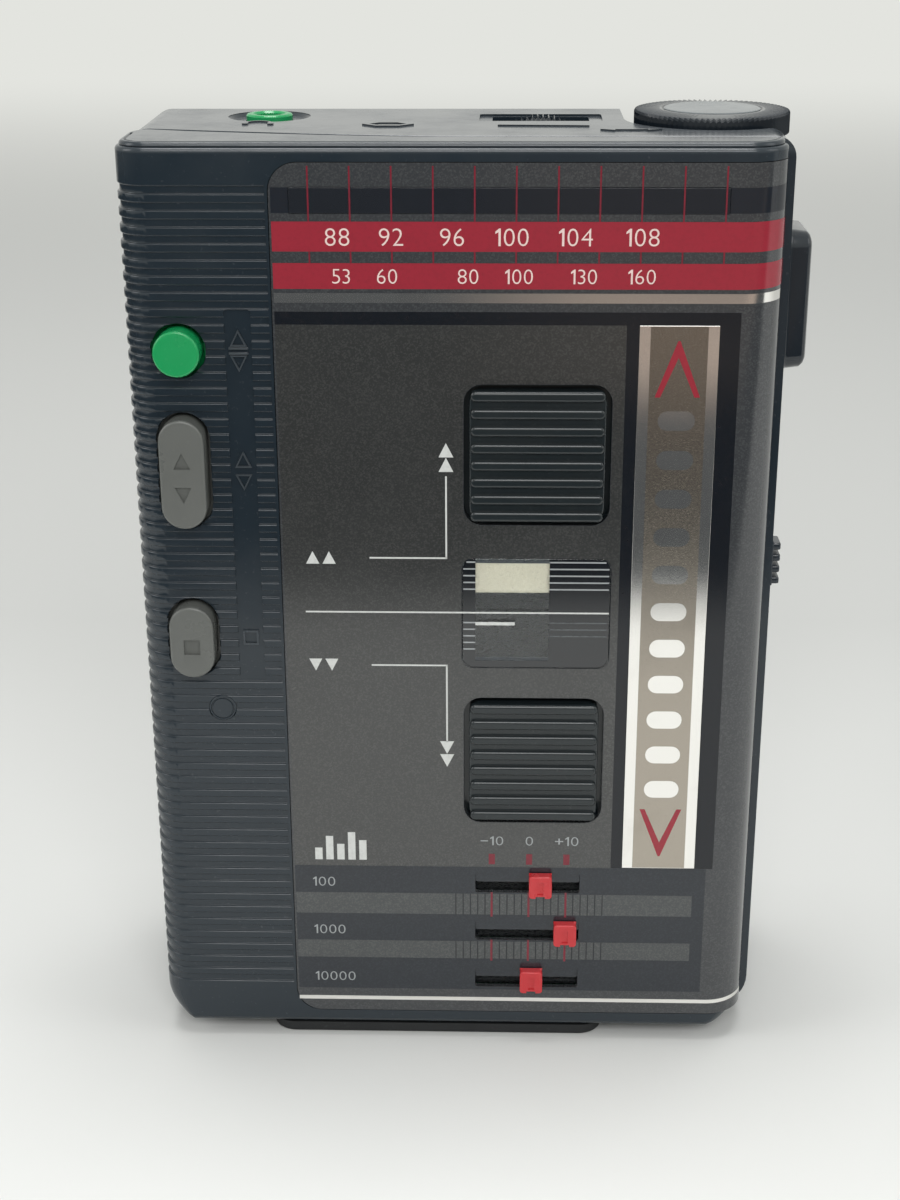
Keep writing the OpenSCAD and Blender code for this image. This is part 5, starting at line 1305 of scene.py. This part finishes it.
def paper_floor():
    """Matt pale paper with a faint mottle and painted shade that darkens it just behind the object, which far behind
    the object turns into the plain background.
    """
    mat, tree, shader, where = start_material("matt paper", {"Roughness": 0.85, "Specular IOR Level": 0.2})
    mottle = add(tree, "TexNoise", {"Vector": where, "Scale": per_mm(60), "Detail": 4.0})
    near = add(tree, "Mix", {0: mottle, 6: "#e4e5e3", 7: "#eaebe9"}, data_type="RGBA")
    along = add(tree, "SeparateXYZ", {0: where}).outputs[1]
    # Painted shade: the paper turns darker behind the object, where less light falls
    depth = add(tree, "MapRange", {"Value": along, "From Min": FLOOR_SHADE_NEAR, "From Max": FLOOR_SHADE_FAR})
    tint = add(tree, "Mix", {0: depth, 6: near, 7: "#cacbc9"}, data_type="RGBA")
    feed(tree, shader, {"Base Color": tint})
    far = add(tree, "MapRange", {"Value": along, "From Min": FADE_NEAR, "From Max": FADE_FAR},
              interpolation_type="SMOOTHSTEP")
    share = add(tree, "Math", {0: far, 1: seen_directly(tree)}, operation="MULTIPLY")
    glow = add(tree, "Emission", {"Color": PALE})
    both = add(tree, "MixShader", {0: share, 1: shader, 2: glow})
    feed(tree, tree.nodes["Material Output"], {"Surface": both})
    return mat


flat("floor", -FLOOR_HALF, FLOOR_HALF, -FLOOR_HALF, FLOOR_HALF, 0.0, paper_floor())

CARD_NEAR, CARD_SIDE, CARD_END = -0.168, -0.25, 0.5
CARD_WARM, CARD_DULL, CARD_RIGHT = -0.36, -0.46, (-0.02, 0.04)


def dark_card():
    """Black paper before and left of the object, seen only in reflections.

    Its edges fade out, and its far right part is brown, duller at the end."""
    mat, tree, shader, where = start_material("black paper", {"Roughness": 0.9})
    split = add(tree, "SeparateXYZ", {0: where})
    across, along = split.outputs[0], split.outputs[1]
    front, side, warm, right, dull = (
        add(tree, "MapRange", {"Value": value, "From Min": start, "From Max": end}) for value, start, end in (
            (along, CARD_NEAR, CARD_NEAR - 0.03), (across, CARD_SIDE, CARD_SIDE - 0.1),
            (along, CARD_WARM + 0.03, CARD_WARM - 0.03), (across, *CARD_RIGHT),
            (along, CARD_DULL + 0.02, CARD_DULL - 0.02)))
    veil = add(tree, "Math", {0: front, 1: side}, operation="MAXIMUM")
    brown = add(tree, "Math", {0: warm, 1: right}, operation="MULTIPLY")
    far = add(tree, "Mix", {0: dull, 6: "#94857b", 7: "#6a5f58"}, data_type="RGBA")
    tint = add(tree, "Mix", {0: brown, 6: "#1a1f24", 7: far}, data_type="RGBA")
    feed(tree, shader, {"Base Color": tint, "Alpha": veil})
    return mat


card = flat("reflection_card", -1.0, 1.0, -1.6, CARD_END, 0.001, dark_card())
card.visible_camera = card.visible_diffuse = card.visible_shadow = card.visible_transmission = False


def lamp(name, at, towards, width, height, power):
    data = bpy.data.lights.new(name, "AREA")
    data.shape = "RECTANGLE"
    data.size, data.size_y, data.energy = width, height, power
    light = bpy.data.objects.new(name, data)
    light.location = at
    light.rotation_euler = (Vector(towards) - Vector(at)).to_track_quat("-Z", "Y").to_euler()
    bpy.context.scene.collection.objects.link(light)


MIDDLE = (0, 0, 0.06)
lamp("overhead softbox", (0.0, 0.1, 1.2), MIDDLE, 0.55, 0.4, 7.0)
lamp("front softbox", (0.15, -1.3, 1.1), MIDDLE, 1.0, 0.7, 12.0)
lamp("left softbox", (-0.9, -0.2, 0.6), MIDDLE, 0.5, 0.6, 2.2)
lamp("right softbox", (0.9, -0.2, 0.6), MIDDLE, 0.5, 0.6, 1.2)

world = bpy.data.worlds.new("studio")
bpy.context.scene.world = world
world.use_nodes = True
studio = world.node_tree
# The surroundings light the object less than they show
level = add(studio, "MapRange", {"Value": seen_directly(studio), "To Min": 0.42, "To Max": 1.0})
feed(studio, studio.nodes["Background"], {"Color": PALE, "Strength": level})

bpy.context.scene.view_settings.view_transform = "Standard"
